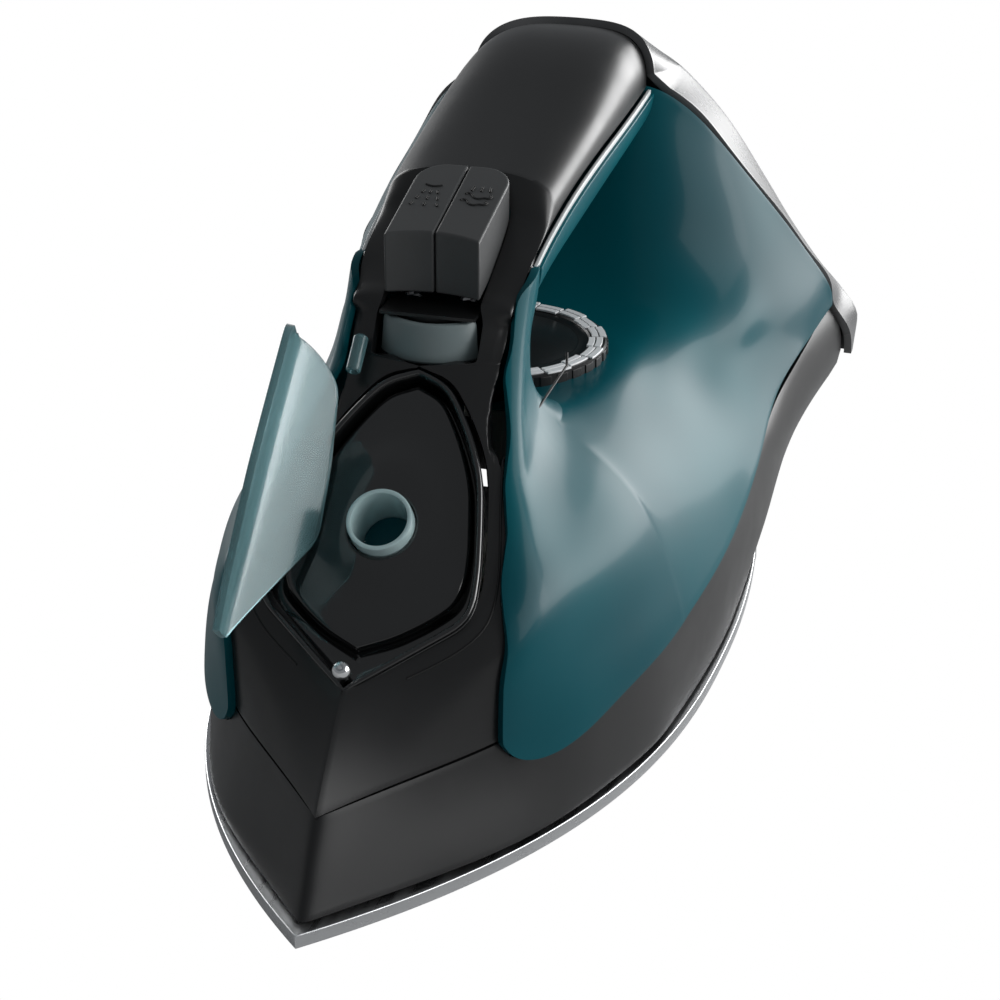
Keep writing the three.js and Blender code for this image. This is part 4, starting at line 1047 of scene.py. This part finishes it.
def build_lid():
    rows = []
    s_values = np.r_[np.linspace(10.6, 40, 36), np.linspace(41, 76, 30), np.linspace(76.6, 82.9, 12)]
    for s in s_values:
        reach = float(np.interp(s, LID_LEAF[:, 1], LID_LEAF[:, 0]))
        d = np.linspace(-1, 1, 41)
        d = np.sign(d) * np.abs(d) ** 1.15 * reach
        soft = np.sqrt(d ** 2 + 3.2 ** 2) - 3.2
        x = np.sign(d) * np.abs(d) * math.cos(LID_SLOPE)
        n = LID_RIDGE_N + 1.8 - soft * math.tan(LID_SLOPE) * math.cos(LID_SLOPE)
        rows.append(np.stack([x, np.full(41, s), n], -1))
    obj = net("lid_shell", lid_world(np.array(rows)), PALE)
    thicken(obj, 1.6, 0.35)
    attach(obj, "lid")
    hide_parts("fill_lid")
    pin = lathe("lid_knuckle", [(0, -4.5), (1.3, -4.5), (1.7, -4.1), (1.7, 4.1), (1.3, 4.5), (0, 4.5)],
                (0, 0, 0), PALE, 32, lambda p: lid_world(np.stack(
                    [LID_HINGE_X + p[..., 0], 85.6 + p[..., 2], LID_HINGE_N + p[..., 1]], -1)))
    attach(pin, "lid")


# ---- Buttons -----------------------------------------------------------------------------
def button_top(y):
    return 122.4 + 0.232 * (y - BUTTON_FRONT_Y)


def build_buttons():
    for sign, job in ((-1, "spray"), (1, "steam")):
        back = [(BUTTON_HALF - 7 + 7 * math.cos(a), BUTTON_BACK_Y - 7 + 7 * math.sin(a))
                for a in np.linspace(0, math.pi / 2, 12)]
        front = [(x, BUTTON_FRONT_Y + 2.4 * (1 - (x / BUTTON_HALF) ** 2))
                 for x in np.linspace(0.15, BUTTON_HALF, 12)]
        outline = np.array(front + back + [(0.15, BUTTON_BACK_Y)]) * [sign, 1]

        def to_world(p):
            z = np.where(p[:, 2] > 0.5, button_top(p[:, 1]), BUTTON_Z + np.maximum(p[:, 1] + 24, 0) * 0.35)
            return np.stack([p[:, 0], p[:, 1], z], -1)
        obj = prism(f"{job}_key", outline, 0, 1, to_world, BUTTON, 0.6, 4)
        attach(obj, f"{job}_key")
        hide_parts(f"{job}_button")
        marks = spray_mark() if job == "spray" else steam_mark()
        strokes = []
        for i, line in enumerate(marks):
            line = np.array(line, float)
            line = through(line, 14) if len(line) > 2 else polyline(line, 4)
            points = np.c_[line, button_top(line[:, 1]) + 0.02]
            strokes.append(tube(f"{job}_stroke_{i}", points, 0.3, INK, 12))
        icon = merged(f"{job}_icon", strokes)
        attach(icon, f"{job}_key")


def spray_mark():
    """A spray head with three rows of drops."""
    x, y = -5.6, -10.5
    lines = [[(x - 1.9, y + 0.5), (x, y - 0.1), (x + 1.9, y + 0.5)]]
    for row in range(3):
        for column in (-1, 0, 1):
            spread = 1 + 0.45 * row
            top = (x + column * 1.5 * spread, y - 2.0 - 2.6 * row)
            lines.append([top, (top[0] + column * 0.35, top[1] - 1.1)])
    return lines


def steam_mark():
    """Three rising strokes over a double cloud line."""
    x, y = 5.7, -9.5
    lines = [[(x + dx, y), (x + dx * 1.1, y - 1.7)] for dx in (-1.9, 0.1, 2.0)]
    wave = [(-3.1, -3.2), (-2.6, -2.6), (-1.9, -2.9), (-0.9, -4.3), (0.4, -4.7), (1.6, -4.2), (2.8, -4.3),
            (3.2, -3.6), (2.7, -3.0)]
    for drop, shift in ((0, 0), (2.7, -0.4)):
        lines.append([(x + dx + shift, y + dy - drop) for dx, dy in wave])
    return lines


# ---- Steam selector ----------------------------------------------------------------------
def build_selector():
    angles = np.radians(np.linspace(-54, 54, 50))
    profile = [(11.4, 95.4), (13.7, 95.2), (14.1, 95.8), (13.4, 103.4), (13.0, 104.1),
               (12.3, 104.3), (11.2, 104.0)]
    rows = [[(r * math.sin(a), -25 - r * math.cos(a), z) for a in angles] for r, z in profile]
    obj = net("selector_collar", np.array(rows), COLLAR)
    thicken(obj, 1.0, 0.3)
    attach(obj, "selector")
    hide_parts("steam_selector")


# ---- Dial --------------------------------------------------------------------------------
def build_dial():
    top, low = DIAL_TOP_Z, DIAL_TOP_Z - 4.2
    profile = [(0, top - 0.5), (18.6, top - 0.5), (18.8, top - 0.62), (19.2, top - 0.62), (19.4, top - 0.5),
               (21.6, top - 0.5), (22.0, top - 0.1), (25.6, top - 0.1), (26.1, top - 0.5),
               (26.1, low), (0, low)]
    knob = lathe("dial_knob", profile, (0, DIAL_Y, 0), BLACK, 120)
    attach(knob, "dial")
    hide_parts("temperature_dial")
    parts = []
    count = 22
    for i in range(count):
        a0, a1 = 2 * math.pi * i / count, 2 * math.pi * (i + 1) / count
        inner, outer = ((22.4, 25.9) if i % 2 else (21.6, 25.0))
        parts.append(ring_block(f"ring_{i}", inner, (inner + outer) / 2 - 0.18, a0 + 0.012, a1 - 0.012, top))
        parts.append(ring_block(f"ringo_{i}", (inner + outer) / 2 + 0.18, outer, a0 + 0.012, a1 - 0.012, top))
    ring = merged("dial_band", parts)
    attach(ring, "dial")
    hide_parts("dial_ring")
    grips = []
    for i in range(36):
        a = 2 * math.pi * i / 36
        block = ring_block(f"grip_{i}", 25.9, 26.35, a - 0.055, a + 0.055, low + 3.3, 3.4, BLACK)
        grips.append(block)
    teeth = merged("dial_grip", grips)
    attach(teeth, "dial")


def ring_block(name, inner, outer, a0, a1, top, deep=0.5, material=SILVER):
    steps = np.linspace(a0, a1, 9)
    outline = [(outer * math.cos(a), outer * math.sin(a)) for a in steps]
    outline += [(inner * math.cos(a), inner * math.sin(a)) for a in steps[::-1]]

    def to_world(p):
        return p + np.array([0, DIAL_Y, 0])
    return prism(name, outline, top - deep + 0.25, top + 0.28, to_world, material, 0.1, 2)


# ---- Marks on the tank: pointer and arc ribs ---------------------------------------------
def skin_of(points):
    """A net of points as a tree to look places up in."""
    rows, columns = points.shape[:2]
    faces = [(r * columns + c, r * columns + c + 1, (r + 1) * columns + c + 1, (r + 1) * columns + c)
             for r in range(rows - 1) for c in range(columns - 1)]
    return BVHTree.FromPolygons([tuple(v) for v in points.reshape(-1, 3)], faces)


def surface_hit(skin, x, y):
    """The tank's outer skin straight below a place in plan, and its normal."""
    spot, normal, _, _ = skin.ray_cast(Vector((x, y, 200)), Vector((0, 0, -1)))
    normal = np.array(normal)
    return np.array(spot), normal * np.sign(normal[2])


RIBS = ([(33, 57), (40.3, 52.4), (44.8, 47.6), (47.3, 33)],
        [(27.4, 45.8), (35.3, 33.1), (37.9, 27.5), (38.6, 19.2)],
        [(26.8, 22.1), (29, 16), (30.5, 9.8)])


def build_ribs(skin):
    for i, plan in enumerate(RIBS):
        hits = [surface_hit(skin, x, y) for x, y in through(plan, 40)]
        line = [spot - normal * 0.5 for spot, normal in hits]
        for sign, hand in ((1, "right"), (-1, "left")):
            rib = tube(f"tank_rib_{hand}_{i + 1}", np.array(line) * [sign, 1, 1], 1.0, TEAL, 16)
            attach(rib, "housing")


def body_spot(x, y):
    """The place on the body's side above (x, y), and its normal."""
    low, high = 40.0, 100.0
    for _ in range(30):
        middle = (low + high) / 2
        low, high = (middle, high) if body_x(y, middle) > x else (low, middle)
    slope_y = float(body_x(y + 1, low) - body_x(y - 1, low)) / 2
    slope_z = float(body_x(y, low + 1) - body_x(y, low - 1)) / 2
    length = math.sqrt(1 + slope_y ** 2 + slope_z ** 2)
    return np.array([x, y, low]), np.array([1, -slope_y, -slope_z]) / length


def build_pointer():
    outline = [(31.3, -17.6), (36.4, -25.5), (37.9, -4.5)]
    spots = [body_spot(x, y) for x, y in outline]
    normal = np.mean([n for _, n in spots], axis=0)
    normal /= np.linalg.norm(normal)
    low = np.array([s for s, _ in spots]) - normal * 1.0
    obj = place("pointer_mark", np.r_[low, low + normal * 2.4],
                [(0, 2, 1), (3, 4, 5), (0, 1, 4, 3), (1, 2, 5, 4), (2, 0, 3, 5)], TRIM)
    fix_normals(obj)
    roll(obj, 0.35, 3)
    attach(obj, "housing")
    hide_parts("dial_pointer")


# ---- Feet, lens, inlet -------------------------------------------------------------------
def finish_frame_nodes():
    """Gives the CAD nodes that stay in view their finish."""
    looks = {
        "heater_casting": ALUMINIUM, "heating_element": STEEL, "steam_chamber_cover": ALUMINIUM,
        "sole_insulator": RUBBER, "thermostat": WHITE, "thermal_fuse": WHITE, "heel_foot_left": RUBBER,
        "heel_foot_right": RUBBER, "cord_inlet": RUBBER, "indicator_lens": LENS, "terminal_block": WHITE,
        "button_guide": BLACK, "steam_valve_rod": BRASS, "dial_shaft": WHITE, "heater_screw_1": STEEL,
        "heater_screw_2": STEEL, "heater_screw_3": STEEL, "spray_pump": WHITE, "spray_pump_spring": STEEL,
        "spray_hose": WHITE, "steam_pump": WHITE, "steam_pump_spring": STEEL, "steam_hose": WHITE,
    }
    for name, material in looks.items():
        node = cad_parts[name]
        node.data.materials.clear()
        node.data.materials.append(material)


# ---- Stage -------------------------------------------------------------------------------
def build_stage():
    floor = place("studio_floor", [(-4000, -4000, -0.2), (4000, -4000, -0.2),
                                   (4000, 4000, -0.2), (-4000, 4000, -0.2)],
                  [(0, 1, 2, 3)], new_material("studio_white", (0.6, 0.6, 0.6), 0.9))
    floor.visible_camera = False
    scene = bpy.context.scene
    world = bpy.data.worlds.new("studio")
    scene.world = world
    world.use_nodes = True
    nodes, links = world.node_tree.nodes, world.node_tree.links
    seen = nodes["Background"]
    seen.inputs["Color"].default_value = (1, 1, 1, 1)
    around = nodes.new("ShaderNodeBackground")
    around.inputs["Color"].default_value = (0.92, 0.96, 1, 1)
    around.inputs["Strength"].default_value = 0.22
    path = nodes.new("ShaderNodeLightPath")
    mix = nodes.new("ShaderNodeMixShader")
    links.new(path.outputs["Is Camera Ray"], mix.inputs["Fac"])
    links.new(around.outputs["Background"], mix.inputs[1])
    links.new(seen.outputs["Background"], mix.inputs[2])
    links.new(mix.outputs["Shader"], nodes["World Output"].inputs["Surface"])
    scene.view_settings.view_transform = "Standard"

    def softbox(name, spot, target, width, height, power):
        data = bpy.data.lights.new(name, "AREA")
        data.shape = "RECTANGLE"
        data.size, data.size_y, data.energy = width, height, power
        light = bpy.data.objects.new(name, data)
        scene.collection.objects.link(light)
        light.location = spot
        light.rotation_euler = (Vector(target) - Vector(spot)).to_track_quat("-Z", "Y").to_euler()
    softbox("side_softbox", (1.0, 0.05, 0.5), (0, 0.0, 0.06), 1.0, 0.8, 8)
    softbox("rear_softbox", (0.9, 1.05, 0.25), (0.0, 0.0, 0.08), 1.7, 0.6, 20)
    softbox("rear_left_softbox", (-0.9, 0.7, 0.4), (0, 0, 0.06), 0.5, 0.7, 5)

    camera_data = bpy.data.cameras.new("camera")
    camera_data.sensor_width = 36
    camera_data.lens = 3200.4 * 36 / 1000
    camera = bpy.data.objects.new("camera", camera_data)
    scene.collection.objects.link(camera)
    back = Vector((0.24518, -0.87954, 0.40779))
    right = Vector((0.96327, 0.26852, 0))
    up = Vector((-0.10950, 0.39281, 0.91307))
    spot = back * 780.413 + right * 8.844 + up * 44.296 + Vector((0, -7.5, 0))
    turn = Matrix((right, up, back)).transposed().to_4x4()
    camera.matrix_world = Matrix.Translation(spot * MM) @ turn
    scene.camera = camera


build_stage()
build_sole()
build_skirt()
saddle_net = build_tank()
build_upper()
build_liner()
build_heel()
build_recess()
build_lid()
build_buttons()
build_selector()
build_dial()
build_ribs(skin_of(saddle_net))
build_pointer()
finish_frame_nodes()
